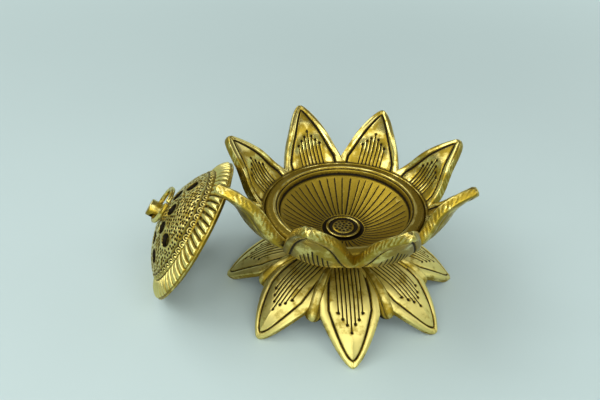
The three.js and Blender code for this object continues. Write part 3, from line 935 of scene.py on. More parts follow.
def petal_mesh(
    petal, rows, field, stamens, engraving, back_engraved, joined_share, keel=0.0, wiped=0.0
):
    """The petal as one closed mesh, with its outline, stamens and file marks cut in it."""
    pitch, ends = stamens
    shape = PetalRows(petal, rows, field, joined_share, keel, max(ends))
    cuts = PetalCuts(petal, shape.distance[0], field, pitch, engraving, wiped)
    middle = engraved_columns(pitch, len(ends) // 2)
    coarse = middle if back_engraved else middle[::6]
    front, back = (
        side_columns(
            shape.widths, shape.field_width, columns, engraving.groove_width, petal.edge_round, fine
        )
        for columns, fine in ((middle, True), (coarse, False))
    )

    across, place, lift, roll = shape.face(front, keeled=True)
    depth, dark = cuts.engraved(place, across, ends, dots=True)
    lift = lift - depth * shape.roundness[:, None] - shape.sunk[:, None]
    top = petal.surface(place, across, lift)
    # The face's first 1.2 mm from the root is darkened: a dark joint and painted shade where the
    # petal meets the body
    root_joint_shade = 0.7 * (1 - smooth_step(petal.start, petal.start + 1.2 * MM, place))
    top_dark = np.maximum(dark, root_joint_shade)
    # Rubbed margins and a wiped face are lightened, the wiped face partly as painted light
    top_dark -= (0.16 * roll + wiped) * (1 - np.minimum(1, 2 * top_dark))

    across, place, back_lift, _ = shape.face(back, keeled=False)
    if back_engraved:
        short = [petal.start + 0.75 * (end - petal.start) for end in ends]
        depth, dark = cuts.engraved(place, across, short, dots=False)
        # Painted shade: the engraved outer face is kept at least a little dark all over
        back_dark = np.maximum(dark, 0.1)
    else:
        depth, back_dark = 0 * back_lift, 0.35 + 0 * back_lift
    back_lift = -shape.thickness[:, None] - shape.sunk[:, None] - (back_lift - depth) * 0.9
    bottom = petal.surface(place, across, back_lift)

    (right, right_dark), (left, left_dark) = (
        shape.filed_edge(side, lift[:, -1:], back_lift[:, -1:], engraving) for side in (1, -1)
    )
    sections = np.concatenate([top, right, bottom[:, ::-1], left[:, ::-1]], axis=1)
    darks = [top_dark, right_dark, back_dark[:, ::-1], left_dark[:, ::-1]]
    darks = np.concatenate(darks, axis=1)
    points, faces = capped_tube(sections)
    patina_and_shading = np.concatenate([darks.reshape(-1), [darks[0].mean(), 0.1]])
    return points, faces, patina_and_shading


def spaced(*stretches):
    """Distances along a line: each stretch is (start, end, step), and the last end closes it."""
    rows = []
    for start, end, step in stretches:
        rows.extend(np.linspace(start, end, max(2, round((end - start) / step) + 1))[:-1])
    return [*rows, stretches[-1][1]]


# Lower lotus

def base_line(settings):
    root = (settings.neck_radius + 1 * MM, NECK_TOP - 1 * MM)
    bends = [(0.27, 0.11), (0.535, 0.265), (0.8, 0.61)]
    return Line(line_between(root, bends, (settings.tip_radius, settings.tip_height)))


# Each petal was cast and set by hand. By its number round the axis: degrees of turn, and reach.
BASE_TURNS = {0: -1.6, 3: 1.2, 4: -2.4, 5: 0.3, 6: 1.9, 7: 2.2}
BASE_REACHES = {0: 0.992, 2: 1.01, 4: 1.043, 5: 1.023, 6: 1.033, 7: 1.005}
BUD_TURNS = {6: 5.5, 5: 0.3, 4: -2.0, 7: 1.5}


def build_base_petals(settings, engraving, finish):
    line = base_line(settings)
    petal = Petal(
        line,
        start=0.0,
        half_width=settings.half_width,
        broadest=0.6 * line.length,
        root_share=0.42,
        thickness=lambda distance: settings.thickness + 0 * distance,
    )

    def field(distance):
        return petal.outline(
            distance,
            settings.groove_half_width,
            0.55 * line.length,
            0.57,
            0.935 * line.length,
            0.62,
        )

    ends = [line.length * part for part in (0.56, 0.61, 0.655, 0.715, 0.65, 0.615, 0.565)]
    rows = spaced(
        (0, 26 * MM, 1.3 * MM),
        (26 * MM, 39.5 * MM, 0.36 * MM),
        (39.5 * MM, line.length - 2 * MM, 0.5 * MM),
        (line.length - 2 * MM, line.length, 0.22 * MM),
    )
    points, faces, patina_and_shading = petal_mesh(
        petal,
        rows,
        field,
        (settings.stamen_pitch, ends),
        engraving,
        back_engraved=False,
        joined_share=0.54,
        keel=settings.keel,
        # The lower lotus's faces are lightened as painted light as well as wiped
        wiped=0.22,
    )
    pivot = line.at(0.0)
    points[:, 2] = np.maximum(points[:, 2], 0)
    points -= (pivot[0], 0, pivot[1])
    piece = mesh_object("base_petal", points, faces, patina_and_shading)
    places = ring_of_places(settings.count, pivot, 0, turns=BASE_TURNS, reaches=BASE_REACHES)
    return rest_on_table(copies("lower_lotus_petals", piece, places, finish))


def rest_on_table(piece):
    """Flattens what reaches below the table, as the casting's feet are filed flat."""
    vertices = piece.data.vertices
    points = np.zeros(len(vertices) * 3, np.float32)
    vertices.foreach_get("co", points)
    points[2::3] = np.maximum(points[2::3], 0)
    vertices.foreach_set("co", points)
    piece.data.update()
    return piece


def build_bell(settings, finish):
    """The hollow body under the petals, with its neck."""
    line = base_line(settings)
    wall = 3 * MM
    reach = np.linspace(0.5 * line.length, 0, 14)
    outer = line.at(reach) - (0, 1 * MM)
    inner = offset_profile(outer, -wall)
    underside = NECK_TOP - wall
    inner = inner[inner[:, 1] < underside]
    washer_face = 8 * MM
    profile = [
        *outer,
        (settings.neck_radius, NECK_TOP - 1 * MM),
        (settings.neck_radius, NECK_TOP),
        (BOLT_HOLE, NECK_TOP),
        (BOLT_HOLE, underside),
        (washer_face, underside),
        *inner[::-1],
    ]
    # Painted shade: the whole bell is darkened evenly, as it lies under the petals
    points, faces, patina_and_shading = turned(profile, 128, 0.35)
    body = mesh_object("lower_lotus_bell", points, faces, patina_and_shading)
    shift_mesh(body, Matrix.Translation(AXIS))
    body.data.materials.append(finish)
    return body


def build_buds(settings, finish):
    """Drop-shaped buds that follow the valleys between petals, with a ridge along the back."""
    spine = Line(
        [(19 * MM, 22.6 * MM), (27 * MM, 21.4 * MM), (34 * MM, 17.6 * MM), (42 * MM, 9.3 * MM)]
    )
    radius = settings.bud_radius
    neck = spine.length - radius
    nose = neck + radius * np.sin(np.radians([15, 30, 45, 58, 70, 80, 87]))
    along = np.concatenate([np.linspace(0, neck, 30), nose])
    shape = radius * np.interp(along / neck, [0, 0.4, 0.75, 1], [0.38, 0.62, 0.88, 1])
    tail = np.clip((along - neck) / radius, 0, 1)
    shape = shape * np.sqrt(np.clip(1 - tail**2, 0.0004, 1))
    turns = np.linspace(0, 2 * math.pi, 44, endpoint=False)
    aside = np.abs(turns - math.pi / 2)
    crease = pit(aside - 0.75, 0.15)
    section = 1 + 0.12 * pit(aside, 0.3) - 0.08 * crease
    middle, run = spine.at(along), spine.tangent(along)
    across = shape[:, None] * section * np.cos(turns)
    lift = shape[:, None] * section * np.sin(turns)
    x = middle[:, :1] - run[:, 1:] * lift
    z = middle[:, 1:] + run[:, :1] * lift
    sections = np.stack([x, across, z], -1)
    points, faces = capped_tube(sections)
    # Painted shade: the bud's lower flanks between the petals and its root by the neck are
    # darkened; its crease holds lacquer
    flank_shade = 0.95 * smooth_step(0.7, 0.15, np.sin(turns))
    root = 0.6 * (1 - smooth_step(0, 6 * MM, along))[:, None]
    dark = np.maximum(np.maximum(0.7 * crease, flank_shade), root)
    patina_and_shading = np.concatenate([dark.reshape(-1), [0.6, 0.1]])
    pivot = spine.at(0.0)
    points -= (pivot[0], 0, pivot[1])
    piece = mesh_object("bud", points, faces, patina_and_shading)
    places = ring_of_places(settings.count, pivot, math.pi / settings.count, turns=BUD_TURNS)
    return copies("lower_lotus_buds", piece, places, finish)


# Upper lotus and dish

def dish_outside(settings, steps=20):
    """The dish's outer curve from its seat to its rolled lip."""
    seat = RIM_HEIGHT - settings.depth - WELL_DEPTH - settings.wall
    parts = np.linspace(0, 1, steps)
    radii = 13 * MM + (RIM_RADIUS - DISH_LIP - 13.4 * MM) * parts
    heights = seat + (RIM_HEIGHT - 2 * DISH_LIP - seat) * parts**1.6
    return list(zip(radii, heights))


def crown_line(settings, dish):
    bowl = offset_profile(dish_outside(dish, 5), FIT_GAP + settings.wall / 2)
    root = (CROWN_ROOT, RIM_HEIGHT - 1.4 * MM)
    bends = [(0.24, 0.23), (0.5, 0.62)]
    tip = (settings.tip_radius, settings.tip_height)
    return Line([*map(tuple, bowl[:-1]), *line_between(root, bends, tip)])


CROWN_COUNT = 8
# By the petal's number round the axis: degrees of turn and of lean outwards, and reach
CROWN_TURNS = {0: -1.35, 1: -0.65, 2: -1.7, 3: -0.15, 4: 0.6, 5: 2.9, 6: -1.1, 7: -0.6}
CROWN_LEANS = {0: 1.5, 2: -1.4, 4: -3.5, 5: -9.0, 6: -6.0, 7: -5.5}
CROWN_REACHES = {0: 1.024, 2: 1.07, 3: 1.05, 4: 1.12, 5: 1.02, 6: 0.95, 7: 0.995}
# Petals bent askew: the side of the burner, the petal's number, degrees of twist at the tip
CROWN_TWISTS = (("left", 4, 22), ("right", 7, -34))


def build_crown_petals(settings, dish, engraving, finish):
    """One piece for each twist, with the petals that share it."""
    askew = [i for _, i, _ in CROWN_TWISTS]
    even = [i for i in range(CROWN_COUNT) if i not in askew]
    groups = [("upper_lotus_petals", 0, even)]
    groups += [(f"upper_lotus_{side}_petal", twist, [i]) for side, i, twist in CROWN_TWISTS]
    return [
        build_crown_group(name, math.radians(twist), members, settings, dish, engraving, finish)
        for name, twist, members in groups
    ]


def build_crown_group(name, twist, members, settings, dish, engraving, finish):
    """The crown petals of the given numbers, all with the same twist."""
    line = crown_line(settings, dish)
    rim = line.distance_at_radius(CROWN_ROOT)
    above = line.length - rim

    def thickness(distance):
        growing = 0.12 + 0.88 * smooth_step(rim - 6 * MM, rim + 4 * MM, distance)
        thinning = 1 - 0.15 * np.clip((distance - rim) / above, 0, 1)
        return settings.thickness * growing * thinning

    petal = Petal(
        line,
        start=rim,
        half_width=settings.half_width,
        broadest=rim,
        root_share=0.3,
        thickness=thickness,
        twist=twist,
    )

    def field(distance):
        return petal.outline(
            distance,
            settings.groove_half_width,
            rim + 0.12 * above,
            0.3,
            rim + 0.9 * above,
            0.84,
        )

    ends = [rim + above * part for part in (0.34, 0.395, 0.46, 0.54, 0.465, 0.41, 0.345)]
    rows = spaced(
        (rim - 6 * MM, rim - 3 * MM, 1 * MM),
        (rim - 3 * MM, rim + 9.5 * MM, 0.6 * MM),
        (rim + 9.5 * MM, rim + 18 * MM, 0.36 * MM),
        (rim + 18 * MM, line.length - 2 * MM, 0.48 * MM),
        (line.length - 2 * MM, line.length, 0.25 * MM),
    )
    points, faces, patina_and_shading = petal_mesh(
        petal,
        rows,
        field,
        (settings.stamen_pitch, ends),
        engraving,
        back_engraved=True,
        joined_share=0.0,
    )
    pivot = line.at(rim)
    points -= (pivot[0], 0, pivot[1])
    piece = mesh_object("crown_petal", points, faces, patina_and_shading)
    places = ring_of_places(
        CROWN_COUNT,
        pivot,
        math.pi / CROWN_COUNT,
        turns=CROWN_TURNS,
        leans=CROWN_LEANS,
        reaches=CROWN_REACHES,
    )
    return copies(name, piece, [places[i] for i in members], finish)


def build_crown_bowl(settings, dish, finish):
    """The bowl under the dish, with its hub."""
    outline = dish_outside(dish)
    outer = offset_profile(outline, FIT_GAP + settings.wall)
    inner = offset_profile(outline, FIT_GAP)
    hub_radius = 12 * MM
    hub_low = NECK_TOP + FIT_GAP
    profile = [
        (BOLT_HOLE, hub_low),
        (hub_radius, hub_low),
        (hub_radius, outer[0][1]),
        *outer,
        (RIM_RADIUS + 2.2 * MM, RIM_HEIGHT - 2.6 * MM),
        (RIM_RADIUS + 2.4 * MM, RIM_HEIGHT - 1.3 * MM),
        (RIM_RADIUS + 1.3 * MM, RIM_HEIGHT - 0.8 * MM),
        (RIM_RADIUS + 0.75 * MM, RIM_HEIGHT - 0.9 * MM),
        (RIM_RADIUS + 0.45 * MM, RIM_HEIGHT - 1.2 * MM),
        (RIM_RADIUS + FIT_GAP, RIM_HEIGHT - DISH_LIP),
        *inner[::-1],
        (BOLT_HOLE, inner[0][1]),
    ]
    points, faces, patina_and_shading = turned(profile, 160, 0.12)
    body = mesh_object("upper_lotus_bowl", points, faces, patina_and_shading)
    shift_mesh(body, Matrix.Translation(AXIS))
    body.data.materials.append(finish)
    return body


def dish_profile(settings):
    """The dish's section from the edge of its bolt hole round the rim and back, with the
    darkening of each point (lacquer, and below zero a rubbed crest that is also a painted
    highlight) and how far the rays are cut there."""
    floor = RIM_HEIGHT - settings.depth
    well = floor - WELL_DEPTH
    seat = well - settings.wall
    lip_middle = (RIM_RADIUS - DISH_LIP, RIM_HEIGHT - DISH_LIP)
    floor_edge = RIM_HEIGHT - 3.4 * MM
    floor_radius, well_radius = 30.4 * MM, 10.3 * MM
    rows = [(BOLT_HOLE, seat, 0.4, 0)]
    rows += [(r, z, 0.4, 0) for r, z in dish_outside(settings, 14)]
    rows += [(r, z, 0.4, 0) for r, z in arc_points(lip_middle, DISH_LIP, -50, 0, 4)]
    rows += [(r, z, 0.22, 0) for r, z in arc_points(lip_middle, DISH_LIP, 15, 80, 6)]
    # Inward from the lip: (radius, drop from the rim's top, darkening). The bead's crest, below
    # zero, is rubbed bright and lightened further as a painted highlight
    inward = [
        (34.8, 0.0, 0.15),
        (34.1, 0.0, 0.1),
        (33.7, -0.1, -0.4),
        (33.25, -0.3, -0.6),
        (32.85, -0.15, -0.5),
        (32.6, 0.3, 0.1),
        (32.35, 0.75, 0.55),
        (32.1, 0.95, 0.75),
        (31.9, 0.9, 0.4),
        (31.7, 0.75, -0.3),
        (31.45, 0.85, 0.0),
        (31.25, 1.3, 0.15),
        (31.1, 2.1, 0.25),
        (31.0, 3.1, 0.8),
        (30.85, 3.65, 1.0),
        (30.6, 3.6, 0.8),
    ]
    rows += [(r * MM, RIM_HEIGHT - drop * MM, dark, 0) for r, drop, dark in inward]
    for part in np.linspace(1, 0, 34):
        radius = well_radius + (floor_radius - well_radius) * part
        height = floor + (floor_edge - floor) * part**1.5
        ray = smooth_step(0, 0.04, part) * smooth_step(0.955, 0.9, part)
        rows.append((radius, height, 0.06, float(ray)))
    rows += [
        (well_radius - 0.25 * MM, floor - 0.4 * MM, 0.9, 0),
        (well_radius - 0.5 * MM, well + 0.1 * MM, 1.0, 0),
        (BOLT_HOLE + 4 * MM, well, 1.0, 0),
        (BOLT_HOLE, well, 1.0, 0),
    ]
    return rows


def stray(piece, sway):
    """Turns the points of each circle a little about the axis, so that no two rays are alike."""
    draw = np.random.RandomState(11)
    vertices = piece.data.vertices
    points = np.zeros(len(vertices) * 3)
    vertices.foreach_get("co", points)
    x, y = points[0::3] - AXIS.x, points[1::3] - AXIS.y
    radius, turn = np.hypot(x, y), np.arctan2(y, x)
    for waves in (3, 5, 9, 14, 19):
        phase, bend = draw.uniform(0, 2 * math.pi), draw.uniform(-1, 1)
        strength = draw.uniform(0.25, 0.5) * sway
        turn = turn + strength * np.sin(waves * turn + phase + bend * radius / RIM_RADIUS)
    points[0::3] = AXIS.x + radius * np.cos(turn)
    points[1::3] = AXIS.y + radius * np.sin(turn)
    vertices.foreach_set("co", points)
    piece.data.update()
    return piece


def build_dish(settings, finish):
    """One sector of the dish for each ray, welded round."""
    rows = dish_profile(settings)
    half = math.pi / settings.ray_count
    positions, darks = [], []
    for radius, height, dark, ray in rows:
        sector = radius * math.tan(half)
        cut = settings.ray_width / 2
        marks = [0, 0.45 * cut, cut, 1.9 * cut]
        marks = [min(mark, sector * part) for mark, part in zip(marks, (0, 0.25, 0.5, 0.78))]
        across = np.array([-m for m in marks[:0:-1]] + marks)
        turns = np.concatenate([[-half], np.arctan2(across, radius), [half]])
        width = max(cut * (0.4 + 0.6 * ray), 0.05 * MM)
        depth = np.pad(settings.ray_depth * ray * pit(across, width * 0.75), 1)
        strength = min(1, 3 * ray)
        line_dark = strength * (1 - smooth_step(0.6 * width, 1.6 * width, np.abs(across)))
        positions.append(
            np.stack([radius * np.cos(turns), radius * np.sin(turns), height - depth], -1)
        )
        darks.append(dark + (1 - dark) * np.pad(line_dark, 1))
    grid = np.array(positions)
    faces = sheet_faces(grid.shape[0], grid.shape[1], wrap_rows=True)
    piece = mesh_object("dish_sector", grid.reshape(-1, 3), faces, np.array(darks).reshape(-1))
    places = ring_of_places(settings.ray_count, (0, 0), 0)
    return stray(copies("dish_turned", piece, places, finish, weld=1e-6), settings.ray_sway)


def bolt_profile(settings, seat, top, end):
    """Points from the bolt's tip to the middle of its head: radius, height and lacquer."""
    half_ring = settings.ring_width / 2
    crest = settings.radius - half_ring
    ring_inner = crest - half_ring
    profile = [(2 * MM, end, 0.4), (settings.bolt_radius, end + 0.5 * MM, 0.4)]
    profile += [(settings.bolt_radius, z, 0.4) for z in np.linspace(end + 2 * MM, seat, 8)]
    profile += [
        (settings.radius - 0.3 * MM, seat, 0.9),
        (settings.radius, seat + 0.3 * MM, 1.0),
        (settings.radius, top - 0.7 * MM, 0.85),
    ]
    for turn in np.radians([0, 25, 50, 75, 105, 130, 155, 180]):
        edge = 0.7 * abs(math.cos(turn)) ** 3 - 0.5
        height = top - 0.4 * MM + 0.4 * MM * math.sin(turn)
        profile.append((crest + half_ring * math.cos(turn), height, edge))
    profile += [
        (ring_inner - 0.05 * MM, top - 0.75 * MM, 0.9),
        (ring_inner - 0.2 * MM, top - 0.95 * MM, 1.0),
        (settings.pod_radius + 0.2 * MM, top - 0.95 * MM, 1.0),
        (settings.pod_radius + 0.05 * MM, top - 0.6 * MM, 0.7),
    ]
    for r in np.linspace(settings.pod_radius, 0.12 * MM, 28)[1:]:
        rise = 0.5 * MM * (1 - (r / settings.pod_radius) ** 8)
        profile.append((r, top - 0.5 * MM + rise, -0.7))
    return np.array(profile)


def seed_places():
    """Middles of the punched seeds: one, and two rings round it."""
    seeds = [(0.0, 0.0)]
    for count, radius, turn in ((6, 1.85 * MM, 0.2), (12, 3.7 * MM, 0.05)):
        for k in range(count):
            around = 2 * math.pi * (k + turn) / count
            seeds.append((radius * math.cos(around), radius * math.sin(around)))
    return seeds


def build_bolt(settings, dish, finish):
    """The tie bolt: a seed-pod head with a ring round it, and the shank below."""
    seat = RIM_HEIGHT - dish.depth - WELL_DEPTH + FIT_GAP
    top = seat + settings.height
    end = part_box("centre_bolt")[0].z
    radii, heights, darks = bolt_profile(settings, seat, top, end).T
    turns = np.linspace(0, 2 * math.pi, 120, endpoint=False)
    x, y = radii * np.cos(turns)[:, None], radii * np.sin(turns)[:, None]
    height = np.broadcast_to(heights, x.shape).copy()
    dark = np.broadcast_to(darks, x.shape).copy()
    on_pod = (radii < settings.pod_radius - 0.1 * MM) & (heights > top - 0.7 * MM)
    for seed_x, seed_y in seed_places():
        away = np.hypot(x - seed_x, y - seed_y)
        height -= 0.4 * MM * pit(away, settings.seed_radius * 0.9) * on_pod
        near = 1 - smooth_step(0.9 * settings.seed_radius, 1.4 * settings.seed_radius, away)
        dark = np.maximum(dark, near * on_pod)
    grid = np.stack([x, y, height], -1)
    points = [*grid.reshape(-1, 3), (0, 0, height[:, -1].mean()), (0, 0, end)]
    faces = sheet_faces(len(turns), len(radii), wrap_rows=True)
    for i in range(len(turns)):
        here, there = i * len(radii), (i + 1) % len(turns) * len(radii)
        faces.append((here + len(radii) - 1, there + len(radii) - 1, len(points) - 2))
        faces.append((there, here, len(points) - 1))
    patina_and_shading = np.concatenate([dark.reshape(-1), [1.0, 0.4]])
    bolt = mesh_object("seed_pod_bolt", points, faces, patina_and_shading)
    shift_mesh(bolt, Matrix.Translation(AXIS))
    bolt.data.materials.append(finish)
    return bolt


# Lid

LOBE_COLUMNS = 12
# Radii of the hole under the lug and inside the spigot, and the height at which the dome's
# ceiling meets the spigot's wall
LUG_HOLE = 2.1 * MM
SPIGOT_INSIDE = 31.2 * MM
CEILING_EDGE = 4.4 * MM


def lid_matrix(settings):
    """From the lid's own space, closed side down with its rim face at zero, to its lean."""
    middle = Vector((settings.place_x, settings.place_y, settings.radius * math.sin(settings.lean)))
    turn = Matrix.Rotation(settings.turn, 4, "Z") @ Matrix.Rotation(-settings.lean, 4, "Y")
    return Matrix.Translation(middle) @ turn


class Dome:
    """The dome's curve, and the flat plan on which its punch marks are laid out."""

    def __init__(self, settings):
        self.flat = 4.4 * MM
        self.edge_radius = settings.radius - 7.7 * MM
        self.edge_height = 5.6 * MM
        self.top = settings.height
        self.roundness = 1.45
        radii = np.linspace(0, self.edge_radius, 4000)
        steps = np.hypot(np.diff(radii), np.diff(self.height(radii)))
        self.radii = radii
        self.arcs = np.concatenate([[0], np.cumsum(steps)])
        self.reach = self.arcs[-1]

    def height(self, radius):
        part = np.clip((radius - self.flat) / (self.edge_radius - self.flat), 0, 1)
        curve = (1 - part**self.roundness) ** (1 / self.roundness)
        return self.edge_height + (self.top - self.edge_height) * curve

    def to_plan(self, points):
        """Places over the dome, as seen from above, laid out flat."""
        points = np.asarray(points, float)
        radius = np.maximum(np.linalg.norm(points, axis=-1, keepdims=True), 1e-9)
        return points * np.interp(radius, self.radii, self.arcs) / radius

    def from_plan(self, points):
        points = np.asarray(points, float)
        arc = np.maximum(np.linalg.norm(points, axis=-1, keepdims=True), 1e-9)
        return points * np.interp(arc, self.arcs, self.radii) / arc


def smoke_holes(settings):
    """Middles of the smoke holes, seen from above."""
    inner = [math.radians(-80 + 45 * k) for k in range(8)]
    outer = [math.radians(a) for a in (-121, -81, 6, 51, 96, 141, 186)]
    rings = ((settings.inner_circle, inner), (settings.outer_circle, outer))
    return [(r * math.cos(a), r * math.sin(a)) for r, angles in rings for a in angles]


def is_clear(point, holes, room):
    return all(math.hypot(point[0] - hole[0], point[1] - hole[1]) > room for hole in holes)


def pit_places(settings, dome, holes):
    """Middles of the stipple's pits on the plan, in uneven hand-punched circles."""
    draw = np.random.RandomState(7)
    pitch = settings.stipple_pitch
    innermost, outermost = 5.8 * MM, arc_circle(dome) - 2.3 * MM
    pits = []
    for row, reach in enumerate(np.arange(innermost, outermost, pitch * 0.87)):
        radius = float(np.interp(reach, dome.arcs, dome.radii))
        count = max(6, round(2 * math.pi * radius / pitch))
        for k in range(count):
            stagger = 0.5 * (row % 2) + draw.normal(0, 0.16)
            around = 2 * math.pi * (k + stagger) / count
            away = reach + draw.normal(0, 0.13) * pitch
            pits.append((away * math.cos(around), away * math.sin(around)))
    room = settings.hole_radius + 1.0 * MM
    return [mark for mark, seen in zip(pits, dome.from_plan(pits)) if is_clear(seen, holes, room)]


def arc_circle(dome):
    """Radius on the plan of the circle of arcs that are punched beside the lobes."""
    return dome.reach - 1.05 * MM


def plan_mesh(loops, loose, drop):
    """Triangles between loops and loose points of a plan, without those that drop tells."""
    points = [Vector(p) for loop in loops for p in loop] + [Vector(p) for p in loose]
    edges, start = [], 0
    for loop in loops:
        count = len(loop)
        edges += [(start + i, start + (i + 1) % count) for i in range(count)]
        start += count
    result = delaunay_2d_cdt(points, edges, [], 0, 1e-9)
    flat, faces, sources = np.array([tuple(v) for v in result[0]]), result[2], result[3]
    middles = np.array([flat[list(f)].mean(0) for f in faces])
    kept = [f for f, out in zip(faces, drop(middles)) if not out]
    return flat, kept, [ids[0] if ids else -1 for ids in sources]


def lobe_circle(settings, radius, slant):
    """Points of a circle that meet the columns of the lobes."""
    count = settings.lobes * LOBE_COLUMNS
    return circle_points((0, 0), radius, count, slant)


# Round the bead of a punched arc: radius, points, lift and darkening of each ring. The rings inside
# the bead are a hollow that holds lacquer, the crest is rubbed bright, and the dark of the
# outermost ring is a painted shadow beside the bead
ARC_RINGS = (
    (0.66 * MM, 11, -0.25 * MM, 1.0),
    (1.0 * MM, 13, -0.38 * MM, 1.0),
    (1.3 * MM, 15, 0.4 * MM, -0.4),
    (1.56 * MM, 16, 0.34 * MM, -0.4),
    (1.8 * MM, 17, -0.15 * MM, 0.9),
)


class PunchMarks:
    """Loose points of the punched skin, on the plan, with their lift and darkening: lacquer in the
    pits and hollows, and a painted shadow beside the arcs.
    """

    def __init__(self):
        self.points, self.lifts, self.darks = [], [], []

    def add(self, points, lift, dark):
        self.points.extend(points)
        self.lifts.extend([lift] * len(points))
        self.darks.extend([dark] * len(points))

    def punch_pit(self, middle, radius, depth):
        """A pit with a slight swell round it."""
        self.add([middle], -depth, 1.0)
        self.add(circle_points(middle, 0.5 * radius, 5), -0.85 * depth, 1.0)
        self.add(circle_points(middle, 0.9 * radius, 8, 0.4), -0.3 * depth, 0.85)
        self.add(circle_points(middle, 1.3 * radius, 9), 0.1 * MM, -0.2)

    def punch_arc(self, middle, reach):
        """A raised bead in an arc that is open towards the lobes."""
        back = math.atan2(middle[1], middle[0]) + math.pi
        self.add([middle], 0.5 * MM, -0.4)
        self.add(circle_points(middle, 0.38 * MM, 7), 0.4 * MM, -0.4)
        for size, steps, raised, dark in ARC_RINGS:
            for k in range(steps):
                turn = 2 * math.pi * k / steps
                behind = smooth_step(-0.45, 0.2, math.cos(turn))
                spot = (
                    middle[0] + size * math.cos(back + turn),
                    middle[1] + size * math.sin(back + turn),
                )
                if math.hypot(*spot) < reach - 0.3 * MM:
                    self.add([spot], raised * behind, dark * behind)


def hole_test(settings, holes):
    """A test of whether places, seen from above, lie in a smoke hole or the lug's hole."""
    centres = np.array([*holes, (0, 0)])
    radii = np.array([settings.hole_radius] * len(holes) + [LUG_HOLE])

    def in_hole(places):
        away = np.linalg.norm(places[:, None, :] - centres[None], axis=-1)
        return (away < radii * 0.995).any(1)

    return in_hole


def punched_skin(settings, dome, holes, rims):
    """The dome's outer skin with its pits and arcs: points, faces and darkening."""
    edge = lobe_circle(settings, dome.edge_radius, settings.lobe_slant)
    loops = [dome.to_plan(loop) for loop in (edge, *rims)]
    marks = PunchMarks()
    for hole in holes:
        lip = circle_points(hole, settings.hole_radius + 0.3 * MM, 40)
        marks.add(dome.to_plan(lip), 0.0, 0.0)
    for middle in pit_places(settings, dome, holes):
        marks.punch_pit(middle, settings.pit_radius, settings.pit_depth)
    arc_count = round(2 * math.pi * dome.edge_radius / settings.arc_pitch)
    for middle in circle_points((0, 0), arc_circle(dome), arc_count):
        marks.punch_arc(middle, dome.reach)

    in_hole = hole_test(settings, holes)
    flat, faces, sources = plan_mesh(
        loops, marks.points, lambda middles: in_hole(dome.from_plan(middles))
    )
    seen = dome.from_plan(flat)
    first_loose = sum(len(loop) for loop in loops)
    lift = np.array([marks.lifts[s - first_loose] if s >= first_loose else 0.0 for s in sources])
    dark = np.array([marks.darks[s - first_loose] if s >= first_loose else 0.0 for s in sources])
    on_edge = np.array([0 <= s < len(edge) for s in sources])
    dark[on_edge] = 0.7

    radius = np.linalg.norm(seen, axis=1)
    step = 0.05 * MM
    ahead = dome.height(np.minimum(radius + step, dome.edge_radius))
    fall = (ahead - dome.height(radius - step)) / (2 * step)
    rise = lift / np.hypot(1, np.clip(fall, -1.6, 0))
    outward = seen / np.maximum(radius, 1e-9)[:, None]
    spread = (rise * np.clip(-fall, 0, 1.6))[:, None]
    points = np.column_stack([seen + outward * spread, dome.height(radius) + rise])
    points[on_edge, :2] = seen[on_edge]
    points[on_edge, 2] = dome.edge_height
    return points, faces, dark


def ceiling_line(settings, dome):
    """The height of the dome's ceiling at a radius. It runs on down to the spigot's wall."""
    radii = np.linspace(dome.edge_radius, LUG_HOLE, 240)
    profile = offset_profile([(r, float(dome.height(r))) for r in radii], -settings.wall)
    profile = profile[np.argsort(profile[:, 0])]
    edge_radius, edge_height = profile[-1]

    def ceiling(radius):
        domed = np.interp(radius, profile[:, 0], profile[:, 1])
        past = np.clip((radius - edge_radius) / (SPIGOT_INSIDE - edge_radius), 0, 1)
        sloped = edge_height + (CEILING_EDGE - edge_height) * past
        height = np.where(radius > edge_radius, sloped, domed)
        return np.minimum(height, settings.height - settings.wall)

    return ceiling


def inner_skin(settings, holes, rims, ceiling):
    """The dome's plain ceiling: points, faces and lacquer."""
    loops = [lobe_circle(settings, SPIGOT_INSIDE, 0.0), *rims]
    room = settings.hole_radius + 0.5 * MM
    circles = [circle_points((0, 0), r, 96, r / MM) for r in np.arange(6, 31, 1.6) * MM]
    loose = [point for circle in circles for point in circle if is_clear(point, holes, room)]
    flat, faces, _ = plan_mesh(loops, loose, hole_test(settings, holes))
    return np.column_stack([flat, ceiling(np.linalg.norm(flat, axis=1))]), faces, 0.45


def hole_wall(rim, dome, ceiling):
    """The wall of a hole through the dome: points, faces and lacquer."""
    radius = np.linalg.norm(rim, axis=1)
    upper = np.column_stack([rim, dome.height(radius)])
    lower = np.column_stack([rim, ceiling(radius)])
    ring_darks = [0.75, 1.0, 1.0, 1.0, 0.8]
    levels = np.linspace(0, 1, len(ring_darks))[:, None, None]
    wall = upper + (lower - upper) * levels
    faces = sheet_faces(len(ring_darks), len(rim), wrap_columns=True)
    return wall.reshape(-1, 3), faces, np.repeat(ring_darks, len(rim))


def dome_skins(settings, dome):
    """The punched outer skin of the dome, its plain inner skin and the walls of the holes."""
    holes = smoke_holes(settings)
    sides = 32
    rims = [circle_points(hole, settings.hole_radius, sides) for hole in holes]
    rims.append(circle_points((0, 0), LUG_HOLE, sides))
    ceiling = ceiling_line(settings, dome)
    parts = [punched_skin(settings, dome, holes, rims), inner_skin(settings, holes, rims, ceiling)]
    parts += [hole_wall(rim, dome, ceiling) for rim in rims]
    return joined(parts)


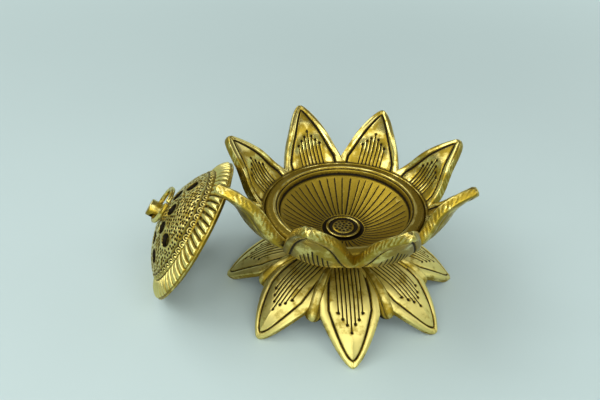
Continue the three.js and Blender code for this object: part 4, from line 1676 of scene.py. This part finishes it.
def rim_profile(settings, dome):
    """The rim's section, up the spigot and the lip and over the lobe to the dome's edge: radius,
    height, share of the way up the lobe, lacquer, and how far the lobes are cut there."""
    spigot_radius, spigot_depth = 33 * MM, 1.5 * MM
    lip_height = 0.8 * MM
    outer = (settings.radius - 0.5 * MM, 1.5 * MM)
    inner = (dome.edge_radius, dome.edge_height)
    rows = [
        (SPIGOT_INSIDE, CEILING_EDGE, 0, 0.4, 0),
        (SPIGOT_INSIDE, 1.5 * MM, 0, 0.4, 0),
        (SPIGOT_INSIDE, -spigot_depth + 0.3 * MM, 0, 0.3, 0),
        (SPIGOT_INSIDE + 0.3 * MM, -spigot_depth, 0, 0.2, 0),
        (spigot_radius - 0.3 * MM, -spigot_depth, 0, 0.2, 0),
        (spigot_radius, -spigot_depth + 0.3 * MM, 0, 0.3, 0),
        (spigot_radius, 0.0, 0, 0.8, 0),
        (settings.radius - 0.35 * MM, 0.0, 0, 0.2, 0),
        (settings.radius, 0.35 * MM, 0, 0.0, 0),
        (settings.radius, lip_height - 0.2 * MM, 0, 0.0, 0),
        (settings.radius - 0.2 * MM, lip_height + 0.05 * MM, 0, 0.05, 0),
        (settings.radius - 0.5 * MM, lip_height + 0.2 * MM, 0, 0.45, 0),
        (settings.radius - 0.45 * MM, lip_height + 0.6 * MM, 0, 0.3, 0.7),
    ]
    for part in np.linspace(0, 1, 20):
        body = 1.5 * MM * math.sin(math.pi * min(part * 0.85 + 0.1, 1)) ** 0.7
        cut = smooth_step(-0.3, 0.0, part) * (1 - smooth_step(0.97, 1.0, part))
        drop = 0.9 * MM * smooth_step(0.86, 1.0, part) ** 2
        x = outer[0] + (inner[0] - outer[0]) * part + body * 0.45
        z = outer[1] + (inner[1] - outer[1]) * part + body * 0.9 - drop
        rows.append((x, z, part, 0.7 * smooth_step(0.94, 1.0, part), cut))
    rows[-1] = (inner[0], inner[1], 1, 0.7, 0)
    return rows


def build_rim_sector(settings, dome):
    """One lobe of the rim, with the lip and the spigot below it."""
    pitch = 2 * math.pi / settings.lobes
    positions, darks = [], []
    for radius, height, part, dark, cut in rim_profile(settings, dome):
        columns = np.linspace(0, 1, LOBE_COLUMNS + 1)
        turns = columns * pitch + settings.lobe_slant * part
        wedge = 0.14 + 0.16 * part
        aside = np.minimum(np.abs(2 * columns - 1) / (1 - wedge), 1)
        lobe = np.sqrt(np.clip(1 - aside**2.2, 0, 1))
        depth = settings.lobe_depth * cut * (1 - lobe) * (0.55 + 0.45 * part)
        out = radius - 0.45 * depth
        positions.append(
            np.stack([out * np.cos(turns), out * np.sin(turns), height - 0.9 * depth], -1)
        )
        valley = cut * (1 - smooth_step(0.1, 0.65, lobe)) * (0.65 + 0.35 * part)
        darks.append(np.maximum(dark, valley) - 0.35 * cut * lobe * (1 - dark))
    grid = np.array(positions)
    faces = sheet_faces(*grid.shape[:2])
    return mesh_object("lid_lobe", grid.reshape(-1, 3), faces, np.array(darks).reshape(-1))


def mesh_arrays(piece):
    """Points, faces and lacquer of a piece."""
    mesh = piece.data
    points = np.zeros(len(mesh.vertices) * 3, np.float32)
    mesh.vertices.foreach_get("co", points)
    dark = np.zeros(len(mesh.vertices), np.float32)
    mesh.attributes["patina_and_shading"].data.foreach_get("value", dark)
    return points, [tuple(side.vertices) for side in mesh.polygons], dark


def build_lid_dome(settings, finish):
    """The punched dome and its lobed rim, welded to one solid."""
    dome = Dome(settings)
    skins = dome_skins(settings, dome)
    lobe = build_rim_sector(settings, dome)
    pitch = 2 * math.pi / settings.lobes
    places = [(Vector((0, 0, 0)), pitch * k, 0.0, 1.0) for k in range(settings.lobes)]
    rim = copies("lid_rim", lobe, places, finish, weld=1e-6)
    whole = joined([skins, mesh_arrays(rim)])
    bpy.data.objects.remove(rim)
    lid = mesh_object("lid_dome_pierced", *whole, weld=2e-6)
    shift_mesh(lid, lid_matrix(settings))
    lid.data.materials.append(finish)
    return lid


def build_lug(lid, ring, finish):
    """The barrel on the lid, drilled across for the ring, with its riveted shank."""
    seat = lid.height + FIT_GAP
    top = lid.height + ring.lug_height
    rivet_top = lid.height - lid.wall - FIT_GAP
    shank, rivet = 1.8 * MM, 3.2 * MM
    profile = [
        (rivet * 0.7, rivet_top - 1.2 * MM),
        (rivet * 0.93, rivet_top - 0.7 * MM),
        (rivet, rivet_top),
        (shank, rivet_top),
        (shank, seat),
        (ring.lug_radius - 0.35 * MM, seat),
        (ring.lug_radius, seat + 0.35 * MM),
        (ring.lug_radius, seat + 2.5 * MM),
        (ring.lug_radius, top - 2.0 * MM),
        (ring.lug_radius, top - 0.6 * MM),
        (ring.lug_radius - 0.08 * MM, top - 0.25 * MM),
        (ring.lug_radius - 0.3 * MM, top),
        (ring.lug_radius * 0.5, top + 0.03 * MM),
    ]
    points, faces = turned_solid(profile, 48)
    rough = ripple(points[:, 2] * 2.2 + np.arctan2(points[:, 1], points[:, 0]) * 3 * MM, 21)
    above = smooth_step(seat, seat + MM, points[:, 2])
    points[:, :2] *= (1 + 0.014 * rough * above)[:, None]
    lug = mesh_object("lid_lug_barrel", points, faces, np.full(len(points), 0.1))
    drill_across(lug, lid, ring)
    shift_mesh(lug, lid_matrix(lid))
    lug.data.materials.clear()
    lug.data.materials.append(finish)
    return lug


def drill_across(lug, lid, ring):
    """Bores the hole for the ring through the lug."""
    overrun = 3 * ring.lug_radius
    drill_points, drill_faces = turned_solid(
        [(ring.bore_radius, -overrun), (ring.bore_radius, overrun)], 40
    )
    drill = mesh_object("drill", drill_points, drill_faces, np.zeros(len(drill_points)))
    across = Matrix.Rotation(ring.azimuth, 4, "Z") @ Matrix.Rotation(math.pi / 2, 4, "X")
    shift_mesh(drill, Matrix.Translation((0, 0, lid.height + ring.eye_height)) @ across)
    cut = lug.modifiers.new("bore", "BOOLEAN")
    cut.operation, cut.object, cut.solver = "DIFFERENCE", drill, "EXACT"
    bpy.context.view_layer.update()
    evaluated = lug.evaluated_get(bpy.context.evaluated_depsgraph_get())
    drilled = bpy.data.meshes.new_from_object(evaluated)
    lug.modifiers.clear()
    lug.data = drilled
    bpy.data.objects.remove(drill)
    drilled.shade_smooth()
    drilled.set_sharp_from_angle(angle=math.radians(38))


def build_ring(lid, ring, finish):
    """The bent wire, with a gap where its ends meet and a slight hammered unevenness."""
    opening = ring.wire_gap / ring.ring_radius
    turns = np.linspace(opening / 2, 2 * math.pi - opening / 2, 120)
    around = np.linspace(0, 2 * math.pi, 20, endpoint=False)
    end = np.minimum(turns - turns[0], turns[-1] - turns) * ring.ring_radius
    turns = turns + ring.gap_turn
    rounding = np.sqrt(np.clip(1 - (1 - np.minimum(end / (0.35 * MM), 1)) ** 2, 0.4, 1))
    wire = ring.wire_radius * rounding * (1 + 0.035 * ripple(turns * 6 * MM, 3))
    centre = np.stack(
        [ring.ring_radius * (1 + np.cos(turns)), ring.ring_radius * np.sin(turns), 0 * turns], -1
    )
    out = np.stack([np.cos(turns), np.sin(turns), 0 * turns], -1)
    up = np.array([0, 0, 1.0])
    sections = (
        centre[:, None, :]
        + wire[:, None, None] * np.cos(around)[None, :, None] * out[:, None, :]
        + wire[:, None, None] * np.sin(around)[None, :, None] * up
    )
    points, faces = capped_tube(sections)
    near_lug = 1 - smooth_step(2.5 * MM, 5 * MM, np.linalg.norm(points, axis=1))
    loop = mesh_object("pull_ring", points, faces, 0.45 * near_lug)
    hang = (
        Matrix.Translation((0, 0, lid.height + ring.eye_height))
        @ Matrix.Rotation(ring.azimuth, 4, "Z")
        @ Matrix.Rotation(ring.tilt, 4, "Y")
    )
    shift_mesh(loop, lid_matrix(lid) @ hang)
    loop.data.materials.append(finish)
    return loop


# Stage

# Rings of the board from its middle outwards: radius and height in metres
BOARD_RINGS = (
    (0.02, 0.0),
    (0.3, 0.0),
    (0.8, 0.0),
    (1.5, 0.0),
    (2.2, 0.02),
    (2.9, 0.1),
    (3.5, 0.28),
    (4.0, 0.6),
    (4.4, 1.1),
    (4.7, 1.8),
)


def build_floor(settings):
    """A pale board that curves up far away on all sides."""
    turns = 96
    rings = [
        np.column_stack([circle_points((0, 0), radius, turns), np.full(turns, height)])
        for radius, height in BOARD_RINGS
    ]
    points = np.vstack([*rings, [(0, 0, 0)]])
    # Every face looks up
    faces = [side[::-1] for side in sheet_faces(len(rings), turns, wrap_columns=True)]
    faces += [(len(points) - 1, j, (j + 1) % turns) for j in range(turns)]
    mesh = bpy.data.meshes.new("floor")
    mesh.from_pydata([tuple(p) for p in points], [], faces)
    mesh.shade_smooth()
    mesh.materials.append(painted_board(settings))
    floor = bpy.data.objects.new("floor", mesh)
    bpy.context.scene.collection.objects.link(floor)


def seen_far_away(tree, place_on):
    """1 where the board lies beyond the lamps' reach, for the camera and for mirrors only. It
    shows there as pale as near by."""
    away = add_node(
        tree,
        "ShaderNodeVectorMath",
        {0: place_on},
        operation="LENGTH",
    ).outputs["Value"]
    far = add_node(
        tree,
        "ShaderNodeMapRange",
        {"Value": away, "From Min": 0.15, "From Max": 0.8},
        interpolation_type="SMOOTHSTEP",
    ).outputs["Result"]
    rays = add_node(tree, "ShaderNodeLightPath").outputs
    seen = rays["Is Camera Ray"]
    for kind in ("Is Glossy Ray", "Is Transmission Ray"):
        seen = add_node(
            tree, "ShaderNodeMath", {0: seen, 1: rays[kind]}, operation="MAXIMUM"
        ).outputs[0]
    return add_node(tree, "ShaderNodeMath", {0: far, 1: seen}, operation="MULTIPLY").outputs[0]


def painted_board(settings):
    # Painted board: matt, with a faint cloudiness from its handling
    material = bpy.data.materials.new("painted_board")
    material.use_nodes = True
    tree = material.node_tree
    shader = tree.nodes["Principled BSDF"]
    place_on = add_node(tree, "ShaderNodeTexCoord").outputs["Object"]
    clouds = add_node(
        tree,
        "ShaderNodeTexNoise",
        {"Vector": place_on, "Scale": 1 / (150 * MM)},
    ).outputs["Fac"]
    darker = tuple(c * 0.96 for c in settings.floor)
    tint = add_node(
        tree,
        "ShaderNodeMix",
        {6: (*darker, 1), 7: (*settings.floor, 1), "Factor": clouds},
        data_type="RGBA",
    ).outputs[2]
    tree.links.new(tint, shader.inputs["Base Color"])
    shader.inputs["Roughness"].default_value = 0.55
    share_far = seen_far_away(tree, place_on)
    glow = add_node(
        tree, "ShaderNodeEmission", {"Color": (*settings.floor, 1), "Strength": 1.0}
    ).outputs[0]
    both = add_node(
        tree, "ShaderNodeMixShader", {0: share_far, 1: shader.outputs[0], 2: glow}
    ).outputs[0]
    tree.links.new(both, tree.nodes["Material Output"].inputs["Surface"])
    return material


def add_lamp(name, place_at, aim, size, power, tint):
    lamp = bpy.data.lights.new(name, "AREA")
    lamp.shape = "RECTANGLE"
    lamp.size, lamp.size_y = size
    lamp.energy = power
    lamp.color = linear(tint)
    holder = bpy.data.objects.new(name, lamp)
    bpy.context.scene.collection.objects.link(holder)
    holder.location = place_at
    holder.rotation_euler = (Vector(aim) - Vector(place_at)).to_track_quat("-Z", "Y").to_euler()


# Soft boxes round the table: height above the horizon and direction in degrees, 270 being the
# camera's side, then watts
SOFT_BOXES = {
    "front_soft_box": (24, 270, 7.1),
    "high_front_soft_box": (55, 270, 1.6),
    "right_soft_box": (24, 0, 1.8),
    "rear_right_soft_box": (24, 45, 0.9),
    "high_left_soft_box": (50, 225, 3.0),
    "high_right_soft_box": (50, 315, 3.6),
    "high_rear_soft_box": (50, 135, 2.5),
    "high_side_soft_box": (50, 180, 4.5),
}


def build_lights():
    """A ring of soft boxes in a pale room."""
    away, side = 1.3, 0.6
    aim = (0.0, 0.0, 30 * MM)
    for name, (height, turn, power) in SOFT_BOXES.items():
        rise, around = math.radians(height), math.radians(turn)
        flat = away * math.cos(rise)
        place_at = (flat * math.cos(around), flat * math.sin(around), away * math.sin(rise))
        add_lamp(name, place_at, aim, (side, side), power, "#FFFFFF")
    world = bpy.data.worlds.new("studio")
    world.use_nodes = True
    background = world.node_tree.nodes["Background"]
    background.inputs["Color"].default_value = (*linear("#FFFFFF"), 1)
    background.inputs["Strength"].default_value = 0.2
    bpy.context.scene.world = world


def build_camera(settings):
    """The camera, looking down at the burner from the front."""
    elevation = settings.elevation
    back = Vector((0, -math.cos(elevation), math.sin(elevation)))
    place_at = Vector((settings.aim_x, settings.aim_y, 0)) + back * settings.distance
    right = Vector((1, 0, 0))
    up = back.cross(right)
    across = math.cos(settings.roll) * right + math.sin(settings.roll) * up
    upward = -math.sin(settings.roll) * right + math.cos(settings.roll) * up
    turn = Matrix((across, upward, back)).transposed().to_4x4()
    view = Matrix.Rotation(settings.heading, 4, "Z") @ Matrix.Translation(place_at) @ turn
    data = bpy.data.cameras.new("camera")
    data.sensor_width = 36
    data.lens = settings.lens
    data.clip_start, data.clip_end = 0.01, 20
    camera = bpy.data.objects.new("camera", data)
    bpy.context.scene.collection.objects.link(camera)
    camera.matrix_world = Matrix.Translation(AXIS) @ view
    bpy.context.scene.camera = camera


# Operators

class LOTUS_OT_stage(bpy.types.Operator):
    """Sets up the camera, the floor and the lamps"""

    bl_idname = "lotus.stage"
    bl_label = "Set the stage"

    def execute(self, context):
        settings = context.scene.lotus_stage
        build_camera(settings)
        build_floor(settings)
        build_lights()
        context.scene.view_settings.view_transform = "Standard"
        return {"FINISHED"}


class LOTUS_OT_base(bpy.types.Operator):
    """Casts the lower lotus: petals, buds and the hollow bell under them"""

    bl_idname = "lotus.base"
    bl_label = "Cast the lower lotus"

    def execute(self, context):
        scene = context.scene
        settings, finish = scene.lotus_base, rubbed_and_lightened_brass(scene.lotus_brass)
        petals = build_base_petals(settings, scene.lotus_engraving, finish)
        for piece in (petals, build_buds(settings, finish), build_bell(settings, finish)):
            settle(piece, "burner", "lower_lotus")
        return {"FINISHED"}


class LOTUS_OT_crown(bpy.types.Operator):
    """Casts the upper lotus: its petals and the bowl that carries the dish"""

    bl_idname = "lotus.crown"
    bl_label = "Cast the upper lotus"

    def execute(self, context):
        scene = context.scene
        settings, finish = scene.lotus_crown, cast_brass(scene.lotus_brass)
        petals = build_crown_petals(settings, scene.lotus_dish, scene.lotus_engraving, finish)
        bowl = build_crown_bowl(settings, scene.lotus_dish, finish)
        for piece in (*petals, bowl):
            settle(piece, "burner", "upper_lotus")
        return {"FINISHED"}


class LOTUS_OT_dish(bpy.types.Operator):
    """Turns the dish and engraves its rays"""

    bl_idname = "lotus.dish"
    bl_label = "Turn the dish"

    def execute(self, context):
        scene = context.scene
        dish = build_dish(scene.lotus_dish, turned_brass(scene.lotus_brass))
        settle(dish, "burner", "dish")
        return {"FINISHED"}


class LOTUS_OT_fasteners(bpy.types.Operator):
    """Makes the seed-pod bolt and finishes its washer and nut"""

    bl_idname = "lotus.fasteners"
    bl_label = "Tie the castings together"

    def execute(self, context):
        scene = context.scene
        finish = cast_brass(scene.lotus_brass)
        bolt = build_bolt(scene.lotus_medallion, scene.lotus_dish, finish)
        settle(bolt, "burner", "centre_bolt")
        for node in ("base_washer", "base_nut"):
            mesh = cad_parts[node].data
            mesh.materials.clear()
            mesh.materials.append(plain_brass(scene.lotus_brass))
        return {"FINISHED"}


class LOTUS_OT_lid(bpy.types.Operator):
    """Makes the pierced and stippled dome with its lobed rim"""

    bl_idname = "lotus.lid"
    bl_label = "Pierce the lid"

    def execute(self, context):
        scene = context.scene
        dome = build_lid_dome(scene.lotus_lid, stippled_brass(scene.lotus_brass))
        settle(dome, "lid", "lid_dome")
        return {"FINISHED"}


class LOTUS_OT_ring(bpy.types.Operator):
    """Makes the lug on the lid and bends the wire ring through it"""

    bl_idname = "lotus.ring"
    bl_label = "Bend the ring"

    def execute(self, context):
        scene = context.scene
        lug = build_lug(scene.lotus_lid, scene.lotus_ring, wire_brass(scene.lotus_brass))
        settle(lug, "lid", "lid_lug")
        loop = build_ring(scene.lotus_lid, scene.lotus_ring, wire_brass(scene.lotus_brass))
        settle(loop, "ring", "lid_ring")
        return {"FINISHED"}


class LOTUS_PT_panel(bpy.types.Panel):
    """Lists the pieces of the burner in the order in which they are made"""

    bl_label = "Lotus dhoop burner"
    bl_idname = "LOTUS_PT_panel"
    bl_space_type = "VIEW_3D"
    bl_region_type = "UI"
    bl_category = "Lotus"

    def draw(self, context):
        column = self.layout.column(align=True)
        for operator in OPERATORS:
            column.operator(operator.bl_idname)
        for name in SETTINGS:
            box = self.layout.box()
            group = getattr(context.scene, name)
            for key in group.__annotations__:
                box.prop(group, key)


OPERATORS = (
    LOTUS_OT_stage,
    LOTUS_OT_base,
    LOTUS_OT_crown,
    LOTUS_OT_dish,
    LOTUS_OT_fasteners,
    LOTUS_OT_lid,
    LOTUS_OT_ring,
)

SETTINGS = {
    "lotus_engraving": EngravingSettings,
    "lotus_base": BasePetalSettings,
    "lotus_crown": CrownPetalSettings,
    "lotus_dish": DishSettings,
    "lotus_medallion": MedallionSettings,
    "lotus_lid": LidSettings,
    "lotus_ring": RingSettings,
    "lotus_brass": BrassSettings,
    "lotus_stage": StageSettings,
}


def register():
    for group in SETTINGS.values():
        bpy.utils.register_class(group)
    for operator in (*OPERATORS, LOTUS_PT_panel):
        bpy.utils.register_class(operator)
    for name, group in SETTINGS.items():
        setattr(bpy.types.Scene, name, PointerProperty(type=group))


def unregister():
    for name in SETTINGS:
        delattr(bpy.types.Scene, name)
    for operator in (*OPERATORS, LOTUS_PT_panel):
        bpy.utils.unregister_class(operator)
    for group in SETTINGS.values():
        bpy.utils.unregister_class(group)


def main():
    register()
    bpy.ops.lotus.stage()
    bpy.ops.lotus.base()
    bpy.ops.lotus.crown()
    bpy.ops.lotus.dish()
    bpy.ops.lotus.fasteners()
    bpy.ops.lotus.lid()
    bpy.ops.lotus.ring()


if __name__ == "__main__":
    main()
